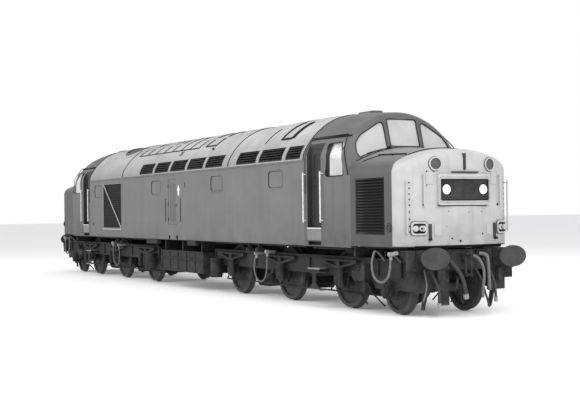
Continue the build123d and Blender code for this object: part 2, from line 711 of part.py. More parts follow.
def make_cab_shell(form):
    """Cab sides and roof at end 1, with side windows and recessed doorways."""
    start = ROOM_END + ROOF_SEAM / 2
    shell = carve(form, [
        cab_solid(start - 1, CAB_DOME_END + 1, WALL, BODY_BOTTOM - 1),
        screen_region(-SCREEN_THICKNESS, DASH_Z, True),
        box(CAB_FRONT, SCREEN_X + 400, -BODY_HALF_WIDTH - 1, BODY_HALF_WIDTH + 1, BODY_BOTTOM - 1, DASH_Z + 1),
    ])
    half = DOORWAY_WIDTH / 2
    face = BODY_HALF_WIDTH - RECESS_DEPTH
    inside = cab_solid(start, SCREEN_X, WALL / 2, FLOOR_TOP - 10)
    lining = box(DOOR_X - half - LINING, DOOR_X + half + LINING, -BODY_HALF_WIDTH, -face + LINING,
                 FLOOR_TOP, DOORWAY_HIGH + LINING) & inside
    recess = box(DOOR_X - half, DOOR_X + half, -BODY_HALF_WIDTH - 10, -face, FLOOR_TOP - 1, DOORWAY_HIGH)
    opening = box(DOOR_X - DOOR_OPENING_WIDTH / 2, DOOR_X + DOOR_OPENING_WIDTH / 2,
                  -face - 1, -face + LINING + 60, FLOOR_TOP - 1, CAB_DOOR_HIGH + DOOR_GAP)
    window = cab_window(0)
    gutter = whole(cab_band(GUTTER[0], GUTTER[1], -GUTTER_PROUD, 6, GUTTER[2])
                   & box(GUTTER[0] - 1, GUTTER[1] + 1, -BODY_HALF_WIDTH - 50, -900, GUTTER[2], GUTTER[3]))
    sill = box(KICK_PLATE[0], KICK_PLATE[1], -BODY_HALF_WIDTH - 14, -BODY_HALF_WIDTH + 5,
               KICK_PLATE[3], KICK_PLATE[3] + 25)
    kick = box(KICK_PLATE[0], KICK_PLATE[1], -BODY_HALF_WIDTH - 5, -BODY_HALF_WIDTH + 5,
               KICK_PLATE[2], KICK_PLATE[3] + 5)
    vent = rod_slot(VENT)
    shell = fuse([shell, *both_sides(whole(lining)), *both_sides(gutter), *both_sides(sill), *both_sides(kick), vent])
    bore = hinge_bores(cab_hinge(), FLOOR_TOP, CAB_DOOR_HIGH + DOOR_GAP)[1]
    foot = box(FOOTHOLE[0], FOOTHOLE[1], -BODY_HALF_WIDTH - 20, -BODY_HALF_WIDTH + WALL + 1, FOOTHOLE[2], FOOTHOLE[3])
    return carve(shell, [tool for block in (recess, opening, window, bore, foot) for tool in both_sides(block)])


def rod_slot(place):
    """Low domed vent along the top of the cab roof."""
    start, end, half, proud = place
    outline = [(-half, ROOF_TOP - 20), (half, ROOF_TOP - 20), (half - 10, ROOF_TOP + proud - 8),
               (half - 50, ROOF_TOP + proud), (-half + 50, ROOF_TOP + proud), (-half + 10, ROOF_TOP + proud - 8)]
    return prism("x", outline, start, end)


def pane_outline(points, gap):
    """Rounded window outline through the screen panel, drawn in by the gap."""
    raised = [(across, rail(height)) for across, height in points]
    block = prism("x", raised, SCREEN_X - 700, SCREEN_X + 500, PANE_CORNER)
    if not gap:
        return block
    face = make_face(Polyline(*[(SCREEN_X - 700, *p) for p in raised], close=True))
    face = fillet(face.vertices(), PANE_CORNER)
    return extrude(offset(face, -gap), amount=1200, dir=(1, 0, 0)).solid()


def panes(gap):
    """The three windscreen outlines."""
    side = pane_outline(SIDE_PANE, gap)
    return [pane_outline(CENTRE_PANE, gap), side, mirrored(side)]


def make_cab_front(form, nose):
    """Windscreen panel with its three rimmed openings, and the wall below it."""
    slab = screen_region(0, DASH_Z, False) - screen_region(-SCREEN_THICKNESS, DASH_Z, False)
    panel = whole(slab & form)
    for block in panes(0):
        panel -= block
    half = BODY_HALF_WIDTH - WALL
    wall = box(CAB_FRONT - WALL, CAB_FRONT, -half, half, FLOOR_TOP, DASH_Z)
    shelf = box(CAB_FRONT - WALL, screen_x(DASH_Z), -half + 30, half - 30, DASH_Z - 40, DASH_Z)
    raised = screen_region(RIM_PROUD, DASH_Z, False) - screen_region(-5, DASH_Z, False)
    rims = [whole((raised & grown) - hole - nose) for grown, hole in zip(panes(-RIM_WIDTH), panes(0))]
    return fuse([panel, wall, shelf, *rims])


def make_cab_glass():
    """Windscreen and side panes at end 1."""
    slab = screen_region(-GLASS_SETBACK, DASH_Z, False)
    slab -= screen_region(-GLASS_SETBACK - GLASS_THICKNESS, DASH_Z, False)
    glass = [slab & block for block in panes(SEAL_GAP)]
    shell = cab_band(CAB_WINDOW_REAR, CAB_WINDOW_FRONT, GLASS_SETBACK,
                     GLASS_SETBACK + GLASS_THICKNESS, BODY_BOTTOM)
    glass += both_sides(shell & cab_window(SEAL_GAP))
    return glass


def nose_plan(inset):
    """Centre and radius of the bow, and where it meets the corner arc."""
    corner = NOSE_CORNER_RADIUS - inset
    across = NOSE_HALF_WIDTH - NOSE_CORNER_RADIUS + NOSE_CORNER_EASE
    run = NOSE_CORNER_X - NOSE_FRONT
    bow = (run ** 2 + across ** 2 - NOSE_CORNER_RADIUS ** 2) / (-2 * NOSE_CORNER_RADIUS - 2 * run)
    centre = NOSE_FRONT - bow
    reach = (bow - inset) / (bow - NOSE_CORNER_RADIUS)
    meet = (centre + (NOSE_CORNER_X - centre) * reach, across * reach)
    return centre, bow - inset, across, corner, meet


def nose_column(inset, low, high):
    """Plan of the nose carried upwards."""
    centre, bow, across, corner, meet = nose_plan(inset)
    rear = CAB_FRONT - 500
    side = NOSE_HALF_WIDTH - inset + NOSE_CORNER_EASE
    front = centre + bow
    lean = (math.atan2(meet[1] - across, meet[0] - NOSE_CORNER_X) + math.pi / 2) / 2
    middle = (NOSE_CORNER_X + corner * math.cos(lean), across + corner * math.sin(lean))
    wide = BODY_HALF_WIDTH + 20
    line = [
        Line((rear, wide, low), (NOSE_CORNER_X, wide, low)),
        Line((NOSE_CORNER_X, wide, low), (NOSE_CORNER_X, side, low)),
        ThreePointArc((NOSE_CORNER_X, side, low), (*middle, low), (*meet, low)),
        ThreePointArc((*meet, low), (front, 0, low), (meet[0], -meet[1], low)),
        ThreePointArc((meet[0], -meet[1], low), (middle[0], -middle[1], low), (NOSE_CORNER_X, -side, low)),
        Line((NOSE_CORNER_X, -side, low), (NOSE_CORNER_X, -wide, low)),
        Line((NOSE_CORNER_X, -wide, low), (rear, -wide, low)),
        Line((rear, -wide, low), (rear, wide, low)),
    ]
    face = make_face(Wire([part.edge() for part in line]))
    return extrude(face, amount=high - low, dir=(0, 0, 1)).solid()


def nose_solid(inset, low):
    """Outer form of the nose, or its hollow when drawn in."""
    rear = CAB_FRONT - 300
    slope = (NOSE_TOP_REAR - NOSE_TOP_FRONT) / (NOSE_SECTION_X - CAB_FRONT)
    narrow = (BODY_HALF_WIDTH - NOSE_HALF_WIDTH) / (NOSE_CORNER_X - CAB_FRONT)

    def section(x, radius):
        half = BODY_HALF_WIDTH - narrow * (min(x, NOSE_CORNER_X) - CAB_FRONT) - inset
        top = NOSE_TOP_REAR - slope * (x - CAB_FRONT) - inset
        return arch_face(x, half, top, radius - inset, NOSE_SHOULDER - inset, low)

    corner = section(NOSE_CORNER_X, NOSE_TOP_RADIUS_FRONT)
    taper = loft([section(rear, NOSE_TOP_RADIUS_REAR), corner], ruled=True)
    front = extrude(corner, amount=NOSE_FRONT - NOSE_CORNER_X + 300, dir=(1, 0, -slope))
    form = whole(taper.fuse(front) & nose_column(inset, low, ROOF_TOP))
    brow = NOSE_BROW - inset
    edges = [edge for edge in form.edges()
             if edge.center().X > NOSE_CORNER_X + 150 and edge.center().Z > NOSE_TOP_FRONT - 300]
    return form.fillet(brow, edges)


def make_nose():
    """Hollow nose at end 1, open underneath and against the cab."""
    outer = nose_solid(0, NOSE_BOTTOM)
    shell = outer - nose_solid(WALL, NOSE_BOTTOM - 1)
    shell -= screen_region(0, DASH_Z, False)
    shell -= box(CAB_FRONT - 600, CAB_FRONT, -BODY_HALF_WIDTH - 30, BODY_HALF_WIDTH + 30, NOSE_BOTTOM - 2, DASH_Z)
    return outer, shell


def on_nose(y, z):
    """Plane on the nose front at a place across it, facing out."""
    centre, bow, across, corner, meet = nose_plan(0)
    if abs(y) <= meet[1]:
        x = centre + math.sqrt(bow ** 2 - y ** 2)
        angle = math.atan2(y, x - centre)
    else:
        side = math.copysign(across, y)
        x = NOSE_CORNER_X + math.sqrt(corner ** 2 - (y - side) ** 2)
        angle = math.atan2(y - side, x - NOSE_CORNER_X)
    return Plane(origin=(x, y, z), x_dir=(-math.sin(angle), math.cos(angle), 0),
                 z_dir=(math.cos(angle), math.sin(angle), 0))


def nose_boss(y, z, sketch, proud, sink):
    """Sketch stood on the nose front, from inside it to proud of it."""
    plane = on_nose(y, z)
    return extrude(plane.offset(-sink) * sketch, amount=proud + sink).solid()


def make_headcode(outer):
    """Box with the blank indicator panel and its two marker discs."""
    front = NOSE_FRONT + HEADCODE_PROUD
    middle = (HEADCODE_LOW + HEADCODE_HIGH) / 2
    plane = Plane(origin=(front, 0, middle), x_dir=(0, 1, 0), z_dir=(1, 0, 0))
    frame = extrude(plane * RectangleRounded(2 * HEADCODE_HALF_WIDTH, HEADCODE_HIGH - HEADCODE_LOW, 40),
                    amount=-150)
    recess = plane.offset(1).move(Location((0, 0, (HEADCODE_PANEL_LOW + HEADCODE_PANEL_HIGH) / 2 - middle)))
    frame -= extrude(recess * RectangleRounded(2 * HEADCODE_PANEL_HALF_WIDTH,
                                               HEADCODE_PANEL_HIGH - HEADCODE_PANEL_LOW, 15), amount=-19)
    frame = frame.fuse(*[rod((front - 30, y, MARKER_Z), (front - 2, y, MARKER_Z), MARKER_RADIUS)
                         for y in (MARKER_OFFSET, -MARKER_OFFSET)])
    return frame - outer


def make_nose_lamps(outer):
    """Tail lamps and horn grilles on the nose front."""
    pieces = []
    for side in (1, -1):
        lamp = nose_boss(side * TAIL_LAMP_OFFSET, TAIL_LAMP_Z, RectangleRounded(300, 240, 60), 28, 120)
        for shift in (-70, 70):
            lens = nose_boss(side * TAIL_LAMP_OFFSET, TAIL_LAMP_Z, Pos(shift, 0) * Circle(52), 45, 40)
            lamp = lamp.fuse(lens)
        pieces.append(lamp - outer)
        horn = nose_boss(side * HORN_OFFSET, HORN_Z, Circle(HORN_RADIUS), 30, 260)
        horn -= nose_boss(side * HORN_OFFSET, HORN_Z, Circle(HORN_RADIUS - 25), 60, -14)
        pieces.append(horn - outer)
    return pieces


def upright_rail(x, y, low, high, out, radius):
    """Handrail held off a side by two stubs; out is the direction of the stubs."""
    foot = (x - out[0], y - out[1])
    stub = RAIL_STUB_SHARE * radius
    return fuse([
        rod((x, y, low), (x, y, high), radius),
        rod((*foot, low + RAIL_STUB_INSET), (x, y, low + RAIL_STUB_INSET), stub),
        rod((*foot, high - RAIL_STUB_INSET), (x, y, high - RAIL_STUB_INSET), stub),
    ])


def lifting_ring():
    """Plugged lifting point on the right side of the nose."""
    x, z, radius = LIFTING_POINT
    y = NOSE_HALF_WIDTH
    ring = rod((x, -y - 12, z), (x, -y + 0.8 * WALL, z), radius)
    return ring - rod((x, -y - 13, z), (x, -y - 4, z), radius - 18)


def make_handrails(outer):
    """All the fixed handrails and lamp irons of end 1 with the door rails of both sides."""
    rails = []
    for x in (DOOR_X - DOORWAY_WIDTH / 2 - 60, DOOR_X + DOORWAY_WIDTH / 2 + 60):
        rail_solid = upright_rail(x, -BODY_HALF_WIDTH - RAIL_STANDOFF, DOOR_RAIL_LOW, DOOR_RAIL_HIGH,
                                  (0, -RAIL_STANDOFF), RAIL_RADIUS)
        rails += both_sides(rail_solid)
    for y, low, high in ((845.0, 1985.0, 2562.0), (1100.0, 1500.0, 2448.0)):
        for side in (1, -1):
            plane = on_nose(side * y, 0)
            away = plane.z_dir
            point = plane.origin + away * RAIL_STANDOFF
            root = away * (RAIL_STANDOFF + WALL / 2)
            one = upright_rail(point.X, point.Y, rail(low), rail(high), (root.X, root.Y), RAIL_RADIUS)
            rails.append(one - outer)
    for side in (1, -1):
        iron = nose_boss(side * 726, rail(1520), RectangleRounded(50, 280, 10), 30, 60)
        plate = nose_boss(side * 580, rail(1550), RectangleRounded(130, 200, 12), 12, 60)
        top = nose_boss(side * 722, rail(2475), RectangleRounded(145, 210, 12), 12, 60)
        rails += [iron - outer, plate - outer, top - outer]
    centre_iron = nose_boss(0, rail(2780), RectangleRounded(45, 300, 10), 30, 260) - outer
    bar = rod((NOSE_FRONT + 30, -300, rail(2585)), (NOSE_FRONT + 30, 300, rail(2585)), 14)
    for y in (-260, 260):
        bar = bar.fuse(rod((NOSE_FRONT - 80, y, rail(2585)), (NOSE_FRONT + 30, y, rail(2585)), 10))
    rails += [centre_iron, bar - outer]
    return rails


def cab_hinge():
    """Place of the right cab door's hinge line."""
    return DOOR_X - DOOR_OPENING_WIDTH / 2 + HINGE_INSET, -BODY_HALF_WIDTH + RECESS_DEPTH + LINING / 2


def mid_hinge():
    """Place of the right engine room door's hinge line."""
    return MID_DOOR_X - MID_DOOR_WIDTH / 2 + HINGE_INSET, -BODY_HALF_WIDTH + WALL / 2


def hinge_bores(place, low, high):
    """Holes for the hinge pins above and below an opening."""
    x, y = place
    radius = HINGE_PIN + PIN_CLEARANCE
    reach = HINGE_PIN_LENGTH + 1
    return [rod((x, y, low - reach), (x, y, low + 1), radius), rod((x, y, high - 1), (x, y, high + reach), radius)]


def door_leaf(place, end, low, high):
    """Plain door on its hinge line with a pin at the top and the bottom."""
    x, y = place
    half = DOOR_THICKNESS / 2
    leaf = box(x - half, end - DOOR_GAP, y - half, y + half, low + DOOR_GAP, high - DOOR_GAP)
    pin = rod((x, y, low - HINGE_PIN_LENGTH), (x, y, high + HINGE_PIN_LENGTH), HINGE_PIN)
    return fuse([leaf, pin])


def make_cab_door():
    """Right cab door at end 1, at the back of its recess."""
    place = cab_hinge()
    end = DOOR_X + DOOR_OPENING_WIDTH / 2
    door = door_leaf(place, end, FLOOR_TOP, CAB_DOOR_HIGH + DOOR_GAP)
    outer = -place[1] + DOOR_THICKNESS / 2
    middle = (place[0] + end) / 2
    window = side_slab(middle, 330, rail(2560), rail(3050), 50, outer + 1, outer - DOOR_THICKNESS - 1)
    pane = side_slab(middle, 330, rail(2560), rail(3050), 50, outer - 14, outer - 26)
    panel = side_slab(middle, 360, FLOOR_TOP + 150, rail(2450), 40, outer + 1, outer - 8)
    return fuse([carve(door, [panel, window]), pane])


def make_mid_door():
    """Right engine room door."""
    place = mid_hinge()
    end = MID_DOOR_X + MID_DOOR_WIDTH / 2
    door = door_leaf(place, end, MID_DOOR_LOW, MID_DOOR_HIGH)
    outer = -place[1] + DOOR_THICKNESS / 2
    middle = (place[0] + end) / 2
    return carve(door, [side_slab(middle, 400, MID_DOOR_LOW + 90, MID_DOOR_HIGH - 90, 40, outer + 1, outer - 6)])


def make_battery_boxes():
    """Boxes slung between the bogies, with recessed doors in two rows."""
    start, end, half, low, high = BATTERY_BOX
    pieces = [box(start, end, -half, half, low, high)]
    pieces += [box(x, x + 60, -half + 50, half - 50, high - 5, UNDERFRAME_BOTTOM) for x in BATTERY_HANGERS]
    pitch = (end - start) / BATTERY_DOORS
    frame = 30.0
    doors = []
    for index in range(BATTERY_DOORS):
        left = start + pitch * index
        for foot, head in ((low, BATTERY_SPLIT), (BATTERY_SPLIT, high)):
            doors += both_sides(box(left + frame, left + pitch - frame, -half - 1, -half + 14,
                                    foot + frame, head - frame))
    rail_bar = box(start, end, -half - 18, -half + 5, BATTERY_SPLIT - 14, BATTERY_SPLIT + 14)
    return fuse([carve(fuse(pieces), doors), *both_sides(rail_bar)])


def make_bulkhead():
    """Wall between the cab and the engine room at end 1."""
    start = ROOM_END - BULKHEAD - 20
    wall = body_solid(start, start + BULKHEAD, WALL + SEAL_GAP, FLOOR_TOP)
    return wall


def make_controls():
    """Driver's desk and two seats in the cab at end 1."""
    desk_outline = [(CAB_FRONT - WALL - 400, rail(2330)), (CAB_FRONT - WALL - 1, rail(2480)),
                    (CAB_FRONT - WALL - 1, FLOOR_TOP), (CAB_FRONT - WALL - 330, FLOOR_TOP)]
    desk = prism("y", desk_outline, -1000, 1000)
    pieces = [desk]
    for y in (640.0, -640.0):
        x = CAB_FRONT - WALL - 800
        column = rod((x, y, FLOOR_TOP), (x, y, rail(1985)), 60)
        cushion = box(x - 230, x + 230, y - 230, y + 230, rail(1980), rail(2080))
        back = box(x - 260, x - 180, y - 230, y + 230, rail(2020), rail(2620))
        pieces.append(fuse([column, cushion, back]))
    return pieces


def make_wheelset(x, radius):
    """Two flanged wheels and their axle, turned about the axle line."""
    inner = GAUGE_INSIDE
    outer = inner + TYRE_WIDTH
    rim = radius - TYRE_DEPTH
    middle = inner + TYRE_WIDTH / 2
    half = [
        # radius, across
        (0, 0), (AXLE_RADIUS, 0), (AXLE_RADIUS, inner - 30), (HUB_RADIUS, inner - 30),
        (HUB_RADIUS, middle - WEB_HALF - 20), (rim, middle - WEB_HALF), (rim, inner),
        (radius + FLANGE, inner + 8), (radius + FLANGE, inner + 22), (radius, inner + 40),
        (radius - 3, outer), (rim, outer), (rim, middle + WEB_HALF),
        (HUB_RADIUS, middle + WEB_HALF - 4), (HUB_RADIUS, outer + 25), (JOURNAL_RADIUS, outer + 25),
        (JOURNAL_RADIUS, JOURNAL_END), (0, JOURNAL_END),
    ]
    height = FLANGE + radius
    points = [(x, across, height + away) for away, across in half]
    face = make_face(Polyline(*points, close=True))
    right = revolve(face, Axis((x, 0, height), (0, 1, 0)), 360)
    return right.fuse(mirrored(right))


AXLES = [(axle, DRIVEN_RADIUS) for axle in DRIVEN_AXLES] + [(IDLER_AXLE, IDLER_RADIUS)]


def axle_boxes():
    """Axle box bodies of both sides of bogie 1, with blind bores for the journals."""
    boxes = []
    inner = AXLE_BOX_INNER
    outer = AXLE_BOX_OUTER
    for x, radius in AXLES:
        z = FLANGE + radius
        left = x - AXLE_BOX_HALF
        right = x + AXLE_BOX_HALF
        outline = [(left, z - AXLE_BOX_LOW), (right, z - AXLE_BOX_LOW), (right, z + AXLE_BOX_HIGH),
                   (left, z + AXLE_BOX_HIGH)]
        body = prism("y", outline, -outer, -inner, 25)
        cover = [rod((x, -outer - 30, z), (x, -outer + 5, z), 115), rod((x, -outer - 42, z), (x, -outer, z), 60)]
        ribs = [box(left + 12, right - 12, -outer - 14, -outer + 5, height, height + 14)
                for height in (z - AXLE_BOX_LOW + 10, z + AXLE_BOX_HIGH - 30)]
        body = fuse([body, *cover, *ribs])
        body -= rod((x, -JOURNAL_END - 1, z), (x, -inner + 1, z), JOURNAL_RADIUS + JOURNAL_CLEARANCE)
        boxes += both_sides(body)
    return boxes


def make_bogie_frame():
    """Side frames with horn gaps, stretchers and the bolster of bogie 1."""
    outer = FRAME_INNER + FRAME_PLATE
    outline = [(FRAME_REAR, FRAME_LOW), (FRAME_REAR, FRAME_TOP - 60), (FRAME_REAR + 60, FRAME_TOP),
               (HEADSTOCK_X, FRAME_TOP), (HEADSTOCK_X, NOSE_END_LOW), (IDLER_AXLE - 450, NOSE_END_LOW),
               (IDLER_AXLE - 600, FRAME_LOW)]
    side = prism("y", outline, -outer, -FRAME_INNER)
    horn = AXLE_BOX_HALF + SEAL_GAP
    for x, radius in AXLES:
        foot = FLANGE + radius - AXLE_BOX_LOW - HORN_STAY_DROP
        legs = box(x - horn - HORN_LEG, x + horn + HORN_LEG, -outer, -FRAME_INNER, foot - HORN_STAY, FRAME_LOW + 5)
        side = side.fuse(legs)
        side -= box(x - horn, x + horn, -outer - 1, -FRAME_INNER + 1, foot,
                    FLANGE + radius + AXLE_BOX_HIGH + SEAL_GAP)
    ribs = [box(x - 12, x + 12, -outer - FRAME_RIB, -outer + 5, FRAME_LOW + 40, FRAME_TOP - 30) for x in FRAME_RIB_X]
    lip = box(FRAME_REAR + 60, HEADSTOCK_X, -outer - FRAME_RIB, -outer + 5, FRAME_TOP - 30, FRAME_TOP)
    pieces = both_sides(fuse([side, lip, *ribs]))
    stretchers = (FRAME_REAR + 40, DRIVEN_AXLES[2] + STRETCHER_PITCH, DRIVEN_AXLES[0] - STRETCHER_PITCH, 8620.0)
    for x in stretchers:
        pieces.append(box(x - 40, x + 40, -FRAME_INNER, FRAME_INNER, rail(760), rail(980)))
    for y in (560.0, -560.0):
        pieces.append(box(FRAME_REAR + 80, 8600, y - 30, y + 30, rail(800), rail(960)))
    bolster = box(PIVOT_X - 330, PIVOT_X + 330, -560, 560, PIVOT_LOW + 20, BOLSTER_TOP - 5)
    pieces += [bolster, box(PIVOT_X - 330, PIVOT_X + 330, -590, -530, rail(900), BOLSTER_TOP - 5),
               box(PIVOT_X - 330, PIVOT_X + 330, 530, 590, rail(900), BOLSTER_TOP - 5)]
    plate = rod((PIVOT_X, 0, BOLSTER_TOP - 30), (PIVOT_X, 0, UNDERFRAME_BOTTOM - SEAL_GAP), PIVOT_RADIUS + 110)
    bore = rod((PIVOT_X, 0, PIVOT_LOW - 50), (PIVOT_X, 0, UNDERFRAME_BOTTOM + 50), PIVOT_RADIUS + JOURNAL_CLEARANCE)
    return carve(fuse([*pieces, plate]), [bore])


def make_hangers():
    """Triangular spring hangers over the driven axles of bogie 1."""
    pieces = []
    outer = FRAME_INNER + FRAME_PLATE
    for x in DRIVEN_AXLES:
        top = rail(960.0)
        apex = rail(775.0)
        outline = [(x - 690, top), (x - 690, top - 55), (x - 60, apex), (x + 60, apex),
                   (x + 690, top - 55), (x + 690, top)]
        plate = prism("y", outline, -outer - 90, -outer - SEAL_GAP)
        for side in (-1, 1):
            gap = [(x + side * 560, top - 35), (x + side * 60, top - 35), (x + side * 60, apex + 55)]
            plate -= prism("y", gap, -outer - 91, -outer - 20)
        pieces += both_sides(plate)
    return pieces


def make_headstock():
    """Buffer beam, buffers and drawhook of bogie 1."""
    beam = box(HEADSTOCK_X, HEADSTOCK_X + HEADSTOCK_THICKNESS, -HEADSTOCK_HALF, HEADSTOCK_HALF,
               HEADSTOCK_LOW, HEADSTOCK_HIGH)
    pieces = [beam]
    face = HEADSTOCK_X + HEADSTOCK_THICKNESS
    for inner, outer, low in HEADSTOCK_APRONS:
        pieces += both_sides(box(HEADSTOCK_X, HEADSTOCK_X + 25, -outer, -inner, low, HEADSTOCK_LOW + 5))
    top = box(HEADSTOCK_X - 400, HEADSTOCK_X + 20, -HEADSTOCK_HALF, HEADSTOCK_HALF, HEADSTOCK_HIGH - 20, HEADSTOCK_HIGH)
    gussets = [prism("y", [(HEADSTOCK_X - 380, HEADSTOCK_HIGH - 10), (HEADSTOCK_X + 5, HEADSTOCK_HIGH - 10),
                           (HEADSTOCK_X + 5, FRAME_TOP + 5), (HEADSTOCK_X - 60, FRAME_TOP + 5)], -y - 12, -y + 12)
               for y in (HEADSTOCK_HALF - 40, 700.0, 350.0)]
    pieces += [top, *[twin for gusset in gussets for twin in both_sides(gusset)]]
    for y, half, low, high, out in HEADSTOCK_BOXES:
        pieces.append(box(face - 5, face + out, y - half, y + half, low, high))
    guard = prism("y", [(HEADSTOCK_X + 20, rail(560)), (HEADSTOCK_X - 60, rail(560)), (HEADSTOCK_X - 160, rail(110)),
                        (HEADSTOCK_X - 90, rail(110)), (HEADSTOCK_X + 20, rail(440))], -780, -740)
    pieces += both_sides(guard)
    for side in (1, -1):
        y = side * BUFFER_OFFSET
        pieces.append(box(face - 1, face + 30, y - 170, y + 170, BUFFER_Z - 170, BUFFER_Z + 130))
        pieces.append(rod((face, y, BUFFER_Z), (face + 250, y, BUFFER_Z), 120))
        pieces.append(rod((face + 20, y, BUFFER_Z), (face + 60, y, BUFFER_Z), 145))
        pieces.append(rod((face + 222, y, BUFFER_Z), (face + 246, y, BUFFER_Z), 132))
        pieces.append(rod((face + 200, y, BUFFER_Z), (BUFFER_X - 10, y, BUFFER_Z), 85))
        plane = Plane(origin=(BUFFER_X - BUFFER_HEAD, y, BUFFER_Z), x_dir=(0, 1, 0), z_dir=(1, 0, 0))
        pieces.append(extrude(plane * Ellipse(BUFFER_HALF_WIDTH, BUFFER_HALF_HEIGHT), amount=BUFFER_HEAD))
    z = BUFFER_Z
    hook = [(face - 1, z - 45), (face + 170, z - 45), (face + 240, z - 20), (face + 290, z + 40),
            (face + 270, z + 110), (face + 225, z + 115), (face + 235, z + 50), (face + 190, z + 25),
            (face + 150, z + 45), (face - 1, z + 45)]
    pieces.append(prism("y", hook, -35, 35))
    link = rod((face + 180, -75, z - 10), (face + 180, 75, z - 10), 20)
    for y in (-60, 60):
        link = link.fuse(rod((face + 180, y, z), (face + 195, y, z - 330), 20))
    link = link.fuse(rod((face + 195, -80, z - 320), (face + 195, 80, z - 320), 28))
    pieces.append(link)
    return fuse(pieces)


def make_motors():
    """Traction motors hung between the wheels of bogie 1."""
    pieces = []
    for x in DRIVEN_AXLES:
        toward = 1 if x == min(DRIVEN_AXLES) else -1
        centre = x + toward * 600
        z = FLANGE + DRIVEN_RADIUS - 10
        body = prism("y", [(centre - 400, z - 250), (centre - 250, z - 380), (centre + 250, z - 380),
                           (centre + 400, z - 250), (centre + 400, z + 180), (centre + 300, z + 200),
                           (centre - 300, z + 200), (centre - 400, z + 180)], -500, 500)
        stretcher = x + toward * STRETCHER_PITCH
        near, far = sorted((stretcher - toward * (40 + SEAL_GAP), centre + toward * 300))
        lug = box(near, far, -160, 160, z + 60, z + 300)
        pieces.append(fuse([body, lug]))
    return pieces


def brake_block(x, radius, toward):
    """Block, hanger and pin on one side of a right wheel; toward is the side along the length."""
    z = FLANGE + radius
    inner = radius + BLOCK_GAP
    outer = inner + BLOCK_DEPTH
    ring = rod((x, -BLOCK_OUTER, z), (x, -BLOCK_INNER, z), outer)
    ring -= rod((x, -BLOCK_OUTER - 1, z), (x, -BLOCK_INNER + 1, z), inner)
    near, far = sorted((x + toward * inner / 2, x + toward * (outer + 1)))
    block = whole(ring & box(near, far, -BLOCK_OUTER, -BLOCK_INNER, z - BLOCK_HALF_HEIGHT, z + BLOCK_HALF_HEIGHT))
    middle = (BLOCK_INNER + BLOCK_OUTER) / 2
    hang = x + toward * (outer - 10 + HANGER_WIDTH / 2)
    hanger = box(hang - HANGER_WIDTH / 2, hang + HANGER_WIDTH / 2, -middle - 18, -middle + 18, z - 60, HANGER_TOP)
    pin = rod((hang, -FRAME_INNER, HANGER_TOP - 30), (hang, -middle, HANGER_TOP - 30), 16)
    return fuse([block, hanger, pin])


def make_brakes():
    """Brake cylinders, blocks, sandboxes and cab steps on the sides of bogie 1."""
    outer = FRAME_INNER + FRAME_PLATE + SEAL_GAP
    pieces = []
    uprights = [(x, out, radius, 14.0, low, high, FRAME_LOW + 40, FRAME_LOW + 120)
                for x, out, radius, low, high in CYLINDERS]
    uprights += [(x + DAMPER_OFFSET, DAMPER_OUT, DAMPER_RADIUS, DAMPER_COLLAR, DAMPER_LOW, DAMPER_HIGH,
                  DAMPER_LUG_LOW, DAMPER_LUG_HIGH) for x in DRIVEN_AXLES]
    for x, out, radius, collar, low, high, lug_low, lug_high in uprights:
        y = -outer - out
        parts = [rod((x, y, low), (x, y, high), radius),
                 rod((x, y, low + 60), (x, y, low + 85), radius + collar),
                 rod((x, y, high - 85), (x, y, high - 60), radius + collar),
                 box(x - radius / 2, x + radius / 2, y, -outer, lug_low, lug_high)]
        pieces += both_sides(fuse(parts))
    (far, link_low), (near, link_high) = LINK_PLAN
    x = DRIVEN_AXLES[1]
    y = -outer - LINK_OUT
    link = [rod((x - far, y, link_low), (x - near, y, link_high), LINK_RADIUS),
            rod((x - far, y - 20, link_low), (x - far, y + 30, link_low), 2 * LINK_RADIUS),
            rod((x - near, y - 20, link_high), (x - near, -outer, link_high), 2 * LINK_RADIUS)]
    pieces += both_sides(fuse(link))
    for x, radius in AXLES:
        for toward in ((-1,) if x == IDLER_AXLE else (1, -1)):
            pieces += both_sides(brake_block(x, radius, toward))
    sand = prism("y", [(8287, rail(764)), (8287, rail(640)), (8350, rail(580)), (8700, rail(580)),
                       (8736, rail(640)), (8736, rail(850)), (8690, rail(920)), (8560, rail(764))],
                 -outer - 150, -outer, 12)
    pieces += both_sides(sand)
    step_plan = [(6870, rail(770)), (7340, rail(770)), (7340, rail(750)), (7170, rail(640)), (7170, rail(470)),
                 (7340, rail(353)), (7340, rail(333)), (6870, rail(333)), (6870, rail(353)), (7040, rail(470)),
                 (7040, rail(640)), (6870, rail(750))]
    step = prism("y", step_plan, -1315, -1295)
    for z in (rail(333), rail(750)):
        step = step.fuse(box(6870, 7340, -1320, -1120, z, z + 20))
    step = step.fuse(box(7040, 7170, -1300, -outer, rail(700), rail(760)))
    pieces += both_sides(step)
    return pieces


# Free hoses of end 1: each point is x, across and height above the rail
HOSES = {
    "a": {"radius": 24.0, "route": ((10262, -740, 815), (10300, -700, 690), (10325, -640, 550),
                                    (10325, -605, 400), (10310, -600, 250))},
    "b": {"radius": 38.0, "route": ((10262, -300, 985), (10330, -210, 850), (10360, -120, 690),
                                    (10350, -60, 530), (10320, -20, 390))},
    "c": {"radius": 24.0, "route": ((10262, 470, 965), (10310, 515, 830), (10340, 590, 670),
                                    (10340, 650, 490), (10320, 672, 310))},
}


def hose_tube(route, radius):
    """Tube along runs joined by arcs as large as the runs allow."""
    points = [Vector(x, y, rail(z)) for x, y, z in route]
    runs = [after - before for before, after in zip(points, points[1:])]
    radii = []
    for before, after in zip(runs, runs[1:]):
        turn = math.radians(before.get_angle(after))
        radii.append(0.45 * min(before.length, after.length) / math.tan(turn / 2))
    path = FilletPolyline(*points, radius=radii)
    start = Plane(origin=points[0], z_dir=runs[0])
    tube = sweep(start * Circle(radius), path=path)
    return tube, runs, radii, path


